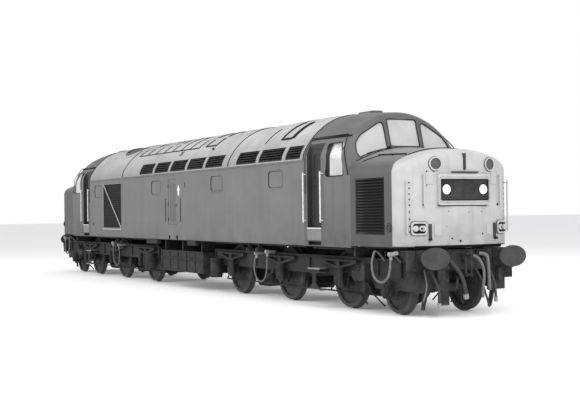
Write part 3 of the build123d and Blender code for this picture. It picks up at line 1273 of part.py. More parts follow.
def hose_end(points, radius, length):
    """Stub that meets the hose's first point face to face."""
    out = (Vector(*points[1]) - Vector(*points[0])).normalized()
    base = Vector(*points[0])
    return rod(tuple(base - out * length), tuple(base), radius)


def build():
    """Make every node."""
    node("underframe", make_underframe())
    side = make_side()
    node("side_right", side)
    node("side_left", mirrored(side))
    for index, (start, end) in enumerate(zip(ROOF_JOINTS, ROOF_JOINTS[1:])):
        node(f"roof_{index + 1}", make_roof(start, end))
    node("roof_filters", make_filters())
    node("fan_grille", make_fan_grille())
    radiator = louvre(LOUVRE_X, LOUVRE_WIDTH, LOUVRE_LOW, LOUVRE_HIGH, LOUVRE_SLATS, BODY_HALF_WIDTH, WALL)
    node("side_louvres", both_sides(radiator))
    form = cab_form()
    shell = make_cab_shell(form)
    outer, nose = make_nose()
    front = make_cab_front(form, outer)
    nose_1 = nose
    opening = box(NOSE_GRILLE_X - NOSE_GRILLE_WIDTH / 2, NOSE_GRILLE_X + NOSE_GRILLE_WIDTH / 2,
                  -BODY_HALF_WIDTH - 50, -NOSE_HALF_WIDTH + 100, NOSE_GRILLE_LOW, NOSE_GRILLE_HIGH)
    face = BODY_HALF_WIDTH - NOSE_TAPER * (NOSE_GRILLE_X - CAB_FRONT) / (NOSE_CORNER_X - CAB_FRONT)
    hinge = Axis((NOSE_GRILLE_X, -face, 0), (0, 0, 1))
    taper = math.degrees(math.atan(NOSE_TAPER / (NOSE_CORNER_X - CAB_FRONT)))
    for block in both_sides(opening.rotate(hinge, taper)):
        nose_1 -= block
    grille = louvre(NOSE_GRILLE_X, NOSE_GRILLE_WIDTH, NOSE_GRILLE_LOW, NOSE_GRILLE_HIGH,
                    NOSE_GRILLE_SLATS, face, WALL).rotate(hinge, taper)
    node("nose_louvres", both_sides(grille))
    node("cab_shell_1", shell)
    node("cab_shell_2", other_end(shell))
    node("cab_front_1", front)
    node("cab_front_2", other_end(front))
    rings = both_sides(lifting_ring())
    node("nose_1", fuse([whole(nose_1), *rings]))
    node("nose_2", other_end(fuse([whole(nose), *rings])))
    slot_rails = []
    for x in SLOT_X:
        back = -BODY_HALF_WIDTH + SLOT_DEPTH
        one = upright_rail(x, back - SLOT_RAIL_RADIUS - 6, SLOT_LOW + 30, SLOT_HIGH - 30,
                           (0, -SLOT_RAIL_RADIUS - 6), SLOT_RAIL_RADIUS)
        slot_rails += both_sides(one)
    for name, pieces in (("cab_glass", make_cab_glass()), ("headcodes", [make_headcode(outer)]),
                         ("nose_lamps", make_nose_lamps(outer)), ("handrails", make_handrails(outer)),
                         ("bulkheads", [make_bulkhead()]), ("cab_controls", make_controls())):
        node(name, [*pieces, *[other_end(piece) for piece in pieces]])
    NODES["handrails"] += slot_rails
    node("engine_block", box(-3000, 2400, -620, 620, FLOOR_TOP, rail(2950)))
    node("battery_boxes", make_battery_boxes())
    door = make_cab_door()
    node("cab_door_1_right", door)
    node("cab_door_1_left", mirrored(door))
    node("cab_door_2_left", other_end(door))
    node("cab_door_2_right", other_end(mirrored(door)))
    mid = make_mid_door()
    node("mid_door_right", mid)
    node("mid_door_left", mirrored(mid))
    ends = ((1, lambda shape: shape), (2, other_end))
    frame = make_bogie_frame()
    gear = axle_boxes() + make_hangers()
    headstock = make_headstock()
    stubs = []
    for hose in HOSES.values():
        points = [(x, y, rail(z)) for x, y, z in hose["route"]]
        stubs.append(hose_end(points, hose["radius"] + 8, 75))
        stubs.append(box(HEADSTOCK_X + HEADSTOCK_THICKNESS - 1, points[0][0] - 25, points[0][1] - 30,
                         points[0][1] + 30, points[0][2] + 20, points[0][2] + 80))
    headstock = fuse([headstock, *stubs])
    for number, turn in ends:
        node(f"bogie_frame_{number}", turn(frame))
        node(f"bogie_gear_{number}", [turn(piece) for piece in gear])
        node(f"headstock_{number}", turn(headstock))
        node(f"motors_{number}", [turn(piece) for piece in make_motors()])
        node(f"brakes_and_steps_{number}", [turn(piece) for piece in make_brakes()])
        for letter, hose in HOSES.items():
            tube, runs, radii, path = hose_tube(hose["route"], hose["radius"])
            last = [(x, y, rail(z)) for x, y, z in reversed(hose["route"])]
            head = hose_end(last, hose["radius"] + 12, 90)
            node(f"hose_{letter}_{number}", turn(tube))
            node(f"hose_coupling_{letter}_{number}", turn(head))
            if number == 1:
                full = math.pi * hose["radius"] ** 2 * path.length
                print("hose", letter, "radii", [round(r) for r in radii],
                      "volume against section by length", round(tube.volume / full, 4))
        for index, x in enumerate((IDLER_AXLE, *DRIVEN_AXLES)):
            radius = IDLER_RADIUS if index == 0 else DRIVEN_RADIUS
            node(f"wheelset_{number}_{index + 1}", turn(make_wheelset(x, radius)))


def main():
    """Make every node and write one file for each."""
    build()
    os.makedirs("parts", exist_ok=True)
    for name, solids in NODES.items():
        export_step(Compound(children=solids) if len(solids) > 1 else solids[0], f"parts/{name}.step")
    print(len(NODES), "nodes")


if __name__ == "__main__":
    main()
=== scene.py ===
"""Looks of the nose-cab diesel locomotive, in metres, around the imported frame."""
import math
from functools import partial, reduce
import bmesh
import bpy
from mathutils import Matrix, Vector


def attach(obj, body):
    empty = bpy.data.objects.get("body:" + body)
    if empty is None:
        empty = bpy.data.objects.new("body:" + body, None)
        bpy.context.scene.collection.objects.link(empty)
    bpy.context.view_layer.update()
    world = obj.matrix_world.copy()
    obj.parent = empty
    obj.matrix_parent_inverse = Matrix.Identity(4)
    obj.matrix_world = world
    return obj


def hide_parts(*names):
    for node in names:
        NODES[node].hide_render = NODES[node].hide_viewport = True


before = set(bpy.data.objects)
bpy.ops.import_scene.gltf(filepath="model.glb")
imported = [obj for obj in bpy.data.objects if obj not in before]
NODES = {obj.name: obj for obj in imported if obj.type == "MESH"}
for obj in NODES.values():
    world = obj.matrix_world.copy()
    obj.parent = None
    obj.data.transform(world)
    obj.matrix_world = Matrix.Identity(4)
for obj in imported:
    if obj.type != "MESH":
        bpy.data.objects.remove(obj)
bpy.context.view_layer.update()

# Camera fitted to the photograph: place, turn, fall and roll in radians, focal length in pixels
CAMERA_PLACE = Vector((25.685, -12.089, 1.948))
CAMERA_TURN = 1.06672
CAMERA_FALL = -0.01006
CAMERA_ROLL = -0.01335
FOCAL_PIXELS = 1068.5
IMAGE_WIDTH = 580
SENSOR = 36.0

# Greys of the paints
SIDE_GREY = 0.132
CAB_GREY = 0.118
NOSE_PALE = 0.430
ROOF_GREY = 0.370
CAB_ROOF_GREY = 0.110
DIRT_GREY = 0.035

# Soft lights: place, aim, size and power
LIGHTS = (
    ((26, -4, 12), (10, 0, 2), 10, 3000),
    ((8, -18, 14), (2, 0, 2), 14, 2000),
    ((-14, -16, 14), (-5, 0, 2), 14, 1600),
    ((4, 16, 14), (0, 0, 2), 12, 900),
)
WORLD_LIGHT = 0.75
FLOOR_GLOW = 0.16

# Flange of a wheel below the rail
FLANGE = 0.028

# The body's section and the edge of the pale paint, as in the part and the photograph
HALF_WIDTH = 1.350
CANTRAIL = 2.9817
SHOULDER = 0.400
SHOULDER_END = 3.1719
ROOF_RADIUS = 1.480
ROOF_CENTRE = 2.468
PAINT_EDGE = 9.830
PAINT_EDGE_TOP = 9.745


def rail(height):
    """Height above the floor of a height above the rail."""
    return FLANGE + height


# Fittings of the nose front: distance from the middle and height
TAIL_LAMP = (0.927, rail(1.582))
HORN = (0.613, rail(2.735))
MARKER = (0.415, rail(2.274))
PANEL_HALF = 0.531
PANEL_LOW = rail(2.081)
PANEL_HIGH = rail(2.454)
PANEL_FACE = 10.321
# Lines round it: how much wider and higher, corner and line
PANEL_LINES = ((0, 0, 0.02, 0.011), (0.031, 0.040, 0.05, 0.0035))

# The body: roof joints, panel seams, holes in the skirt, ledge under the louvre and doorway
ROOF_JOINTS = (-3.85, 3.25)
SIDE_SEAMS = (-6.60, -3.85, -0.62, 1.10, 3.25, 5.00)
SKIRT_HOLES = (-0.333, 0.170)
SKIRT_HOLE_HEIGHT = rail(1.285)
LEDGE = (-5.557, -3.951)
DOORWAY = (6.93, 7.49)


def turns(count):
    """Angles evenly round a circle."""
    return [2 * math.pi * k / count for k in range(count)]


def make_camera():
    """Camera at the photograph's place and angle."""
    flat = math.cos(CAMERA_FALL)
    ahead = Vector((-math.sin(CAMERA_TURN) * flat, math.cos(CAMERA_TURN) * flat, -math.sin(CAMERA_FALL)))
    right = ahead.cross(Vector((0, 0, 1))).normalized()
    up = right.cross(ahead)
    rolled = math.cos(CAMERA_ROLL) * right + math.sin(CAMERA_ROLL) * up
    top = math.cos(CAMERA_ROLL) * up - math.sin(CAMERA_ROLL) * right
    data = bpy.data.cameras.new("camera")
    data.sensor_fit = "HORIZONTAL"
    data.sensor_width = SENSOR
    data.lens = FOCAL_PIXELS / IMAGE_WIDTH * SENSOR
    data.clip_end = 400
    camera = bpy.data.objects.new("camera", data)
    turn = Matrix((rolled, top, -ahead)).transposed()
    camera.matrix_world = Matrix.Translation(CAMERA_PLACE) @ turn.to_4x4()
    bpy.context.scene.collection.objects.link(camera)
    bpy.context.scene.camera = camera


class Shader:
    """A material under construction, with short ways to add its nodes."""

    def __init__(self, name):
        self.material = bpy.data.materials.new(name)
        self.material.use_nodes = True
        self.tree = self.material.node_tree
        self.shader = self.tree.nodes["Principled BSDF"]
        self.shader.inputs["Specular IOR Level"].default_value = 0.12
        self.place = self.add("ShaderNodeTexCoord").outputs["Object"]
        split = self.add("ShaderNodeSeparateXYZ")
        self.feed(self.place, split.inputs[0])
        self.along, self.across, self.height = split.outputs
        self.reach = self.math("ABSOLUTE", self.along, 0.0)
        self.out = self.math("ABSOLUTE", self.across, 0.0)

    def add(self, kind, **settings):
        """New node with some properties."""
        made = self.tree.nodes.new(kind)
        for key, value in settings.items():
            setattr(made, key, value)
        return made

    def feed(self, value, socket):
        """Set a socket to a number or a colour, or link another socket to it."""
        if isinstance(value, (int, float)):
            socket.default_value = value
        elif isinstance(value, tuple):
            socket.default_value = (*value, 1.0)
        else:
            self.tree.links.new(value, socket)

    def noise(self, scale, detail=4.0, roughness=0.6, stretch=(1, 1, 1)):
        """Noise over the object, stretched along an axis."""
        mapping = self.add("ShaderNodeMapping")
        mapping.inputs["Scale"].default_value = stretch
        self.feed(self.place, mapping.inputs["Vector"])
        made = self.add("ShaderNodeTexNoise")
        for key, number in (("Scale", scale), ("Detail", detail), ("Roughness", roughness)):
            made.inputs[key].default_value = number
        self.feed(mapping.outputs["Vector"], made.inputs["Vector"])
        return made.outputs["Fac"]

    def ramp(self, value, low, high, start=0.0, end=1.0):
        """Value carried from one range to another, and held at its ends."""
        made = self.add("ShaderNodeMapRange")
        for socket, number in zip(made.inputs[1:5], (low, high, start, end)):
            socket.default_value = number
        self.feed(value, made.inputs[0])
        return made.outputs[0]

    def math(self, operation, first, second):
        """Result of an operation on two numbers or sockets."""
        made = self.add("ShaderNodeMath", operation=operation)
        self.feed(first, made.inputs[0])
        self.feed(second, made.inputs[1])
        return made.outputs[0]

    def away(self, value, place, height):
        """Distance from a place that is given by a coordinate and a height."""
        shift = self.math("SUBTRACT", value, place)
        rise = self.math("SUBTRACT", self.height, height)
        squares = self.math("ADD", self.math("POWER", shift, 2.0), self.math("POWER", rise, 2.0))
        return self.math("POWER", squares, 0.5)

    def within(self, value, low, high, soft=0.002):
        """1 between two limits and 0 outside them."""
        rise = self.ramp(value, low - soft, low + soft)
        return self.math("MULTIPLY", rise, self.ramp(value, high - soft, high + soft, 1.0, 0.0))

    def both(self, *shares):
        """Product of several shares or numbers."""
        return reduce(partial(self.math, "MULTIPLY"), shares)

    def either(self, *shares):
        """Largest of several shares."""
        return reduce(partial(self.math, "MAXIMUM"), shares)

    def mix(self, share, first, second):
        """Colour between two colours; a number is a neutral grey."""
        made = self.add("ShaderNodeMix", data_type="RGBA")
        self.feed(share, made.inputs["Factor"])
        for value, socket in zip((first, second), made.inputs[6:8]):
            self.feed((value,) * 3 if isinstance(value, float) else value, socket)
        return made.outputs[2]

    def bump(self, height, strength, distance):
        """Small relief that only the light shows."""
        made = self.add("ShaderNodeBump")
        made.inputs["Strength"].default_value = strength
        made.inputs["Distance"].default_value = distance
        self.feed(height, made.inputs["Height"])
        self.feed(made.outputs["Normal"], self.shader.inputs["Normal"])

    def done(self, tone, rough=None):
        """Give the surface its colour and, where given, its roughness; returns the material."""
        self.feed(tone, self.shader.inputs["Base Color"])
        if rough is not None:
            self.feed(rough, self.shader.inputs["Roughness"])
        return self.material


def weather(made, tone, foot=(1.2, 2.1), streaks=0.30, specks=0.22, grime=0.7):
    """Rain streaks, fine specks and grime towards the foot, laid over a colour."""
    streak = made.ramp(made.noise(5.0, 3, 0.5, (1.0, 1.0, 0.10)), 0.5, 0.85)
    speck = made.ramp(made.noise(55, 3, 0.7), 0.6, 0.75)
    low = made.ramp(made.height, foot[0], foot[1], 1.0, 0.0)
    edge = made.both(low, made.ramp(made.noise(2.2, 5, 0.6), 0.3, 0.65))
    tone = made.mix(made.both(streak, streaks), tone, DIRT_GREY)
    tone = made.mix(made.both(speck, specks), tone, DIRT_GREY)
    return made.mix(made.both(edge, grime), tone, DIRT_GREY)


def paint(name, base, wear):
    """Matt paint with wide blotches; returns the shader and its colour."""
    made = Shader(name)
    blotch = made.ramp(made.noise(0.9, 5, 0.62, (1, 1, 1.6)), 0.35, 0.68)
    made.feed(made.ramp(blotch, 0, 1, 0.42, 0.62), made.shader.inputs["Roughness"])
    made.bump(made.noise(1.4, 3, 0.5, (1, 1, 1.4)), 0.28, 0.02)
    return made, made.mix(blotch, base, wear)


def body_paint():
    """Side paint with seams, painted shade in the recesses and the skirt holes, and a worn ledge under the
    louvre.
    """
    made, tone = paint("side_paint", SIDE_GREY, SIDE_GREY * 1.25)
    seams = [made.within(made.along, x - 0.004, x + 0.004, 0.001) for x in SIDE_SEAMS]
    tone = weather(made, tone, (1.25, 1.75), 0.18, 0.22, 0.30)
    tone = made.mix(made.both(made.either(*seams), 0.45), tone, 0.07)
    # Painted shade: near black in the recesses and in the skirt holes.
    deep_shade = made.both(made.ramp(made.out, 1.336, 1.340, 1.0, 0.0), made.within(made.height, 1.55, 2.95))
    centres = [made.away(made.along, x, SKIRT_HOLE_HEIGHT) for x in SKIRT_HOLES]
    holes = [made.ramp(centre, 0.055, 0.060, 1.0, 0.0) for centre in centres]
    tone = made.mix(made.both(made.either(deep_shade, *holes), 0.9), tone, 0.008)
    ledge = made.both(made.within(made.height, rail(1.444), rail(1.475)), made.within(made.along, *LEDGE),
                      made.ramp(made.out, 1.351, 1.353))
    tone = made.mix(made.both(ledge, 0.7), tone, 0.5)
    return made.done(tone)


def cab_paint():
    """Cab side paint with a darker roof, a black gutter, painted shade in the recesses and a worn pale kick
    plate.
    """
    made, tone = paint("cab_paint", CAB_GREY, CAB_GREY * 1.2)
    above = made.ramp(made.height, rail(3.365), rail(3.40))
    tone = made.mix(above, tone, CAB_ROOF_GREY)
    tone = weather(made, tone)
    plate = made.both(made.within(made.height, rail(1.338), rail(1.585)), made.within(made.reach, *DOORWAY),
                      made.ramp(made.out, 1.3505, 1.3535))
    worn = made.ramp(made.noise(5, 3, 0.5), 0.30, 0.62, 0.55, 0.85)
    tone = made.mix(made.both(plate, worn), tone, 0.21)
    lip = made.both(plate, made.ramp(made.height, rail(1.562), rail(1.566)))
    tone = made.mix(lip, tone, 0.66)
    # Painted shade: near black in the recess of the cab door.
    deep_shade = made.both(made.ramp(made.out, 1.338, 1.342, 1.0, 0.0), made.within(made.reach, 6.90, 7.50),
                     made.within(made.height, 1.30, 3.30))
    tone = made.mix(made.both(deep_shade, 0.8), tone, 0.012)
    gutter = made.both(made.within(made.height, rail(3.355), rail(3.388)),
                       made.within(made.reach, 6.845, 8.27))
    tone = made.mix(gutter, tone, 0.012)
    return made.done(tone)


def nose_paint():
    """Pale front with the side colour behind its edge; the sides are a darker copy of the cab grey as painted
    shade, and lighter towards the top as painted light.
    """
    made = Shader("nose_paint")
    lean = made.ramp(made.height, 2.72, 2.98, 0.0, PAINT_EDGE_TOP - PAINT_EDGE)
    front = made.ramp(made.math("SUBTRACT", made.reach, lean), PAINT_EDGE - 0.002, PAINT_EDGE + 0.002)
    blotch = made.ramp(made.noise(1.6, 5, 0.6, (1, 1, 1.4)), 0.35, 0.7)
    pale = made.mix(blotch, NOSE_PALE, NOSE_PALE * 0.84)
    # Painted shade: the nose sides are a darker copy of the cab grey.
    side = made.mix(blotch, CAB_GREY * 0.62, CAB_GREY * 0.80)
    # Painted light: lighter towards the top of the nose, where light falls on it.
    top = made.ramp(made.height, 2.75, 3.05)
    side = made.mix(made.both(top, 0.55), side, 0.34)
    tone = made.mix(front, side, pale)
    tone = weather(made, tone, (1.25, 1.9), 0.22, 0.2, 0.4)
    hem = made.both(front, made.ramp(made.height, 1.283, 1.295, 1.0, 0.0))
    tone = made.mix(hem, tone, 0.02)
    made.bump(made.noise(1.8, 3, 0.5), 0.2, 0.015)
    return made.done(tone, made.ramp(blotch, 0, 1, 0.4, 0.6))


def headcode_paint():
    """Pale frame, blank dark panel and two white marker discs."""
    made = Shader("headcode_paint")
    panel = made.both(made.within(made.out, -1.0, PANEL_HALF),
                      made.within(made.height, PANEL_LOW, PANEL_HIGH))
    far = made.away(made.out, *MARKER)
    marker = made.both(panel, made.ramp(far, 0.086, 0.089, 1.0, 0.0))
    rim = made.both(panel, made.ramp(far, 0.097, 0.100, 1.0, 0.0))
    blotch = made.ramp(made.noise(3.0, 5, 0.7), 0.35, 0.7)
    dark = made.mix(blotch, 0.016, 0.045)
    pale = made.mix(blotch, NOSE_PALE, NOSE_PALE * 0.85)
    pale = weather(made, pale, (0.0, 0.1), 0.2, 0.2, 0.0)
    tone = made.mix(panel, pale, dark)
    tone = made.mix(rim, tone, 0.015)
    tone = made.mix(marker, tone, 0.90)
    return made.done(tone, 0.45)


def lamp_paint():
    """Pale horn rings round dark mesh, and pale tail lamp boxes."""
    made = Shader("lamp_paint")
    horn = made.ramp(made.away(made.out, *HORN), 0.101, 0.103, 1.0, 0.0)
    mesh = made.mix(made.ramp(made.noise(90, 2), 0.4, 0.6), 0.035, 0.12)
    pale = made.mix(made.ramp(made.noise(9, 5), 0.35, 0.7), NOSE_PALE, NOSE_PALE * 0.8)
    tone = made.mix(horn, pale, mesh)
    return made.done(tone, 0.5)


def rail_paint():
    """Handrails and irons: white at the doors, pale on the nose, dark irons and slot rails."""
    made = Shader("rail_paint")
    blotch = made.ramp(made.noise(14, 5, 0.7), 0.4, 0.7)
    nose = made.ramp(made.reach, 9.0, 9.1)
    low = made.both(made.within(made.out, 0.695, 0.757), made.within(made.height, rail(1.37), rail(1.68)))
    high = made.both(made.ramp(made.out, 0.305, 0.310, 1.0, 0.0), made.ramp(made.height, 2.4, 2.5))
    iron = made.either(low, high)
    slots = made.ramp(made.reach, 2.0, 2.1, 1.0, 0.0)
    dark = made.either(made.both(iron, nose), slots)
    tone = made.mix(blotch, 0.66, 0.45)
    tone = made.mix(nose, tone, NOSE_PALE * 0.9)
    tone = made.mix(dark, tone, 0.04)
    return made.done(tone, 0.5)


def roof_paint():
    """Dusty roof, darker on its shoulders as painted shade, and darker along its joints."""
    made, tone = paint("roof_paint", ROOF_GREY, ROOF_GREY * 1.25)
    # Painted shade: the roof darker low on its shoulders, lighter on top where light falls.
    shoulder_shade = made.ramp(made.height, 3.05, 3.60, 1.0, 0.0)
    tone = made.mix(made.both(shoulder_shade, 0.75), tone, ROOF_GREY * 0.55)
    soot = made.ramp(made.noise(0.7, 5, 0.7, (1, 2.2, 1)), 0.45, 0.75)
    tone = made.mix(made.both(soot, 0.35), tone, 0.16)
    joints = [made.within(made.along, x - 0.012, x + 0.012, 0.003) for x in ROOF_JOINTS]
    joints.append(made.ramp(made.reach, 6.780, 6.788))
    tone = made.mix(made.both(made.either(*joints), 0.8), tone, 0.03)
    tone = weather(made, tone, (-1, -0.5), 0.2, 0.2, 0.0)
    return made.done(tone)


def grime(made, base, dust, dust_share):
    """Oily black with dust; returns its colour, its blotches and its specks."""
    blotch = made.ramp(made.noise(3.5, 6, 0.65), 0.4, 0.7)
    fine = made.ramp(made.noise(40, 4, 0.7), 0.4, 0.75)
    tone = made.mix(made.both(blotch, dust_share), base, dust)
    made.bump(made.noise(30, 4, 0.6), 0.3, 0.004)
    return made.mix(made.both(fine, 0.35), tone, dust), blotch, fine


def grimy(name, base, dust, dust_share=0.5, rough=0.75):
    """Dark finish with pale brake dust."""
    made = Shader(name)
    tone, blotch, _ = grime(made, base, dust, dust_share)
    return made.done(tone, made.ramp(blotch, 0, 1, rough - 0.2, rough + 0.1))


def slats(name, deep_shade, edge, level):
    """Dirty louvre blades, pale along their outer edges, with painted shade that darkens them deeper in and
    is black behind.
    """
    made = Shader(name)
    blotch = made.ramp(made.noise(6, 5, 0.65), 0.35, 0.7)
    # Painted shade: the blades darken deeper in and are black behind them.
    share = made.ramp(made.out, deep_shade + 0.4 * (edge - deep_shade), edge)
    pale = made.mix(blotch, level * 1.25, level * 0.7)
    return made.done(made.mix(made.both(share, share), 0.006, pale), 0.6)


def headstock_paint():
    """Black headstock whose buffer heads are paler, partly worn and partly a painted sheen."""
    made = Shader("headstock_grime")
    tone, blotch, fine = grime(made, 0.012, 0.090, 0.5)
    # Painted sheen and wear: the buffer faces paler than the headstock.
    face = made.ramp(made.reach, 10.560, 10.580)
    worn = made.mix(blotch, 0.044, 0.070)
    return made.done(made.mix(face, tone, made.mix(made.both(fine, 0.5), worn, 0.035)), 0.7)


def plain(name, level, spread=0.3, rough=0.5, scale=12):
    """Even finish with a little mottling."""
    made = Shader(name)
    mottle = made.ramp(made.noise(scale, 5, 0.65), 0.35, 0.7)
    made.bump(made.noise(scale * 3, 3), 0.15, 0.001)
    return made.done(made.mix(mottle, level, level * (1 - spread)), rough)


def glass():
    """Dusty panes whose pale colour is a painted reflection of the sky."""
    made = Shader("glass")
    dust = made.ramp(made.noise(3, 5, 0.6), 0.35, 0.75)
    made.shader.inputs["Transmission Weight"].default_value = 0.42
    made.shader.inputs["Specular IOR Level"].default_value = 0.5
    made.shader.inputs["IOR"].default_value = 1.45
    # Painted reflection: the pale base colour of the panes.
    return made.done(made.mix(dust, 0.74, 0.62), made.ramp(dust, 0, 1, 0.05, 0.22))


PAINTS = {
    "side": body_paint(),
    "cab": cab_paint(),
    "nose": nose_paint(),
    "roof": roof_paint(),
    "headcode": headcode_paint(),
    "lamp": lamp_paint(),
    "rails": rail_paint(),
    "grille": slats("grille_paint", 1.340, 1.3495, 0.17),
    "filter": grimy("filter_paint", 0.006, 0.02, 0.3),
    "fan": grimy("fan_paint", 0.09, 0.2),
    # Painted shade: the cab doors are dark as the shade of their recess, with dust over it.
    "door": grimy("door_in_painted_shade", 0.030, 0.05, 0.5, 0.6),
    "nose_grille": slats("nose_grille_paint", 1.295, 1.330, 0.035),
    "gear": grimy("gear_grime", 0.011, 0.080),
    "headstock": headstock_paint(),
    "wheel": grimy("wheel_grime", 0.034, 0.13),
    "interior": grimy("cab_interior", 0.08, 0.18, 0.3, 0.6),
    "hose_grey": plain("hose_grey", 0.17, 0.5, 0.6, 30),
    # Painted sheen: the rubber is lighter than black rubber.
    "rubber": plain("rubber", 0.060, 0.5, 0.6, 40),
    "black": plain("black_trim", 0.012),
    "pale": plain("pale_fitting", 0.38),
    "white": plain("white_fitting", 0.85, 0.08, 0.4),
    "lens": plain("lamp_lens", 0.40, 0.2, 0.15),
    "steel": plain("worn_steel", 0.30, 0.4, 0.4, 25),
    "glass": glass(),
}

# Finish of a CAD node by the start of its name: the first that fits, or else running gear
NODE_PAINT = {
    "side_louvres": "grille", "side": "side", "mid_door": "side", "roof_filters": "filter", "roof": "roof",
    "fan": "fan", "nose_louvres": "nose_grille", "nose_lamps": "lamp", "nose": "nose", "cab_glass": "glass",
    "cab_door": "door", "cab_controls": "interior", "bulkheads": "interior", "cab": "cab",
    "headcodes": "headcode", "handrails": "rails", "hose_coupling": "steel", "hose": "rubber",
    "wheelset": "wheel", "headstock": "headstock",
}


def paint_nodes():
    """Give every CAD node its finish."""
    for name, node in NODES.items():
        finish = next((value for start, value in NODE_PAINT.items() if name.startswith(start)), "gear")
        node.data.materials.clear()
        node.data.materials.append(PAINTS[finish])


def add_piece(name, data, finish, body, slot):
    """New piece of one finish that rides on a body."""
    data.materials.append(PAINTS[finish])
    piece = bpy.data.objects.new(name, data)
    bpy.context.scene.collection.objects.link(piece)
    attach(piece, body)
    return piece


class Trim:
    """Small fittings of one finish on one body, gathered in one mesh."""

    def __init__(self, name, finish, body, slot):
        self.name = name
        self.piece = (finish, body, slot)
        self.mesh = bmesh.new()

    def box(self, low, high, turn=None):
        """Block between two corners, turned about its middle by a matrix."""
        low = Vector(low)
        high = Vector(high)
        middle = (low + high) / 2
        size = high - low
        place = Matrix.Translation(middle) @ (turn.to_4x4() if turn else Matrix.Identity(4))
        bmesh.ops.create_cube(self.mesh, size=1.0, matrix=place @ Matrix.Diagonal((*size, 1.0)))

    def tube(self, points, radius, sides=10, closed=False):
        """Round bar along points."""
        points = [Vector(point) for point in points]
        count = len(points)
        rings = []
        normal = None
        for index, point in enumerate(points):
            if closed:
                ahead = points[(index + 1) % count] - points[index - 1]
            else:
                ahead = points[min(index + 1, count - 1)] - points[max(index - 1, 0)]
            ahead.normalize()
            if normal is None:
                normal = ahead.orthogonal().normalized()
            normal = (normal - ahead * normal.dot(ahead)).normalized()
            side = ahead.cross(normal)
            rings.append([self.mesh.verts.new(point + radius * (math.cos(t) * normal + math.sin(t) * side))
                          for t in turns(sides)])
        pairs = list(zip(rings, rings[1:])) + ([(rings[-1], rings[0])] if closed else [])
        for first, second in pairs:
            for step in range(sides):
                after = (step + 1) % sides
                self.mesh.faces.new((first[step], first[after], second[after], second[step]))
        if not closed:
            self.mesh.faces.new(list(reversed(rings[0])))
            self.mesh.faces.new(rings[-1])

    def boxes(self, along, out, up):
        """Block on both sides, from its limits along, outward and upward."""
        for side in (-1, 1):
            low, high = sorted(side * y for y in out)
            self.box((along[0], low, up[0]), (along[1], high, up[1]))

    def tubes(self, points, radius, sides=10, closed=False):
        """Round bar on both sides."""
        for side in (-1, 1):
            self.tube([(x, side * y, z) for x, y, z in points], radius, sides, closed)

    def plate(self, back, face):
        """Raised plate from its outline at the back and at the face."""
        rows = [[self.mesh.verts.new(point) for point in row] for row in (back, face)]
        self.mesh.faces.new(rows[1])
        for index in range(len(back)):
            after = (index + 1) % len(back)
            self.mesh.faces.new((rows[0][index], rows[0][after], rows[1][after], rows[1][index]))

    def strip(self, first, second):
        """Flat band between two rows of places."""
        rows = [[self.mesh.verts.new(Vector(point)) for point in row] for row in (first, second)]
        for a, b, c, d in zip(rows[0], rows[0][1:], rows[1][1:], rows[1]):
            self.mesh.faces.new((a, b, c, d))

    def disc(self, place, out, radius, thick, sides=28):
        """Short cylinder that stands from a place towards out."""
        place = Vector(place)
        self.tube([place, place + Vector(out).normalized() * thick], radius, sides)

    def ring(self, place, out, radius, thick, sides=32, flat=1.0):
        """Round ring about an axis; flat squeezes it upwards."""
        place = Vector(place)
        out = Vector(out).normalized()
        across = out.cross(Vector((0, 0, 1))).normalized()
        up = across.cross(out)
        points = [place + radius * (math.cos(t) * across + flat * math.sin(t) * up) for t in turns(sides)]
        self.tube(points, thick, 8, True)

    def bolt(self, place, out, radius=0.012):
        """Domed bolt head."""
        place = Vector(place)
        out = Vector(out).normalized()
        self.tube([place, place + out * radius * 0.6], radius, 6)

    def bolts(self, start, end, count, out, radius=0.012):
        """Row of bolt heads from one place to another."""
        start = Vector(start)
        end = Vector(end)
        for index in range(count):
            self.bolt(start.lerp(end, index / max(1, count - 1)), out, radius)

    def done(self, turned=False):
        """Finish the mesh and let it ride on its body; turned puts it at end 2."""
        for edge in self.mesh.edges:
            if len(edge.link_faces) == 2 and edge.calc_face_angle() > 0.6:
                edge.smooth = False
        for face in self.mesh.faces:
            face.smooth = True
        if turned:
            bmesh.ops.rotate(self.mesh, verts=self.mesh.verts, matrix=Matrix.Rotation(math.pi, 3, "Z"))
        data = bpy.data.meshes.new(self.name)
        self.mesh.to_mesh(data)
        self.mesh.free()
        add_piece(self.name, data, *self.piece)


def skin_y(z, proud=0.0):
    """Half width of the body at a height, some way proud of the skin."""
    if z <= CANTRAIL:
        return HALF_WIDTH + proud
    if z <= SHOULDER_END:
        return HALF_WIDTH - SHOULDER + math.sqrt((SHOULDER + proud) ** 2 - (z - CANTRAIL) ** 2)
    return math.sqrt((ROOF_RADIUS + proud) ** 2 - (z - ROOF_CENTRE) ** 2)


# The nose front's plan and the windscreen's surface, as in the part
NOSE_CORNER_X = 9.662
NOSE_CORNER = 0.550
NOSE_ACROSS = 0.7405
NOSE_BOW = 3.7096
NOSE_CENTRE = 6.5904
NOSE_MEET = 0.8694
SCREEN_X = 8.482
SCREEN_Z = rail(3.178)
SCREEN_RAKE = 0.28
SCREEN_BOW = 6.0
CENTRE_PANE = ((-0.345, 3.160), (0.345, 3.160), (0.345, 3.702), (-0.345, 3.702))
SIDE_PANE = ((0.430, 3.105), (1.000, 2.915), (1.098, 2.995), (1.098, 3.205), (0.975, 3.370), (0.500, 3.645),
             (0.440, 3.600))


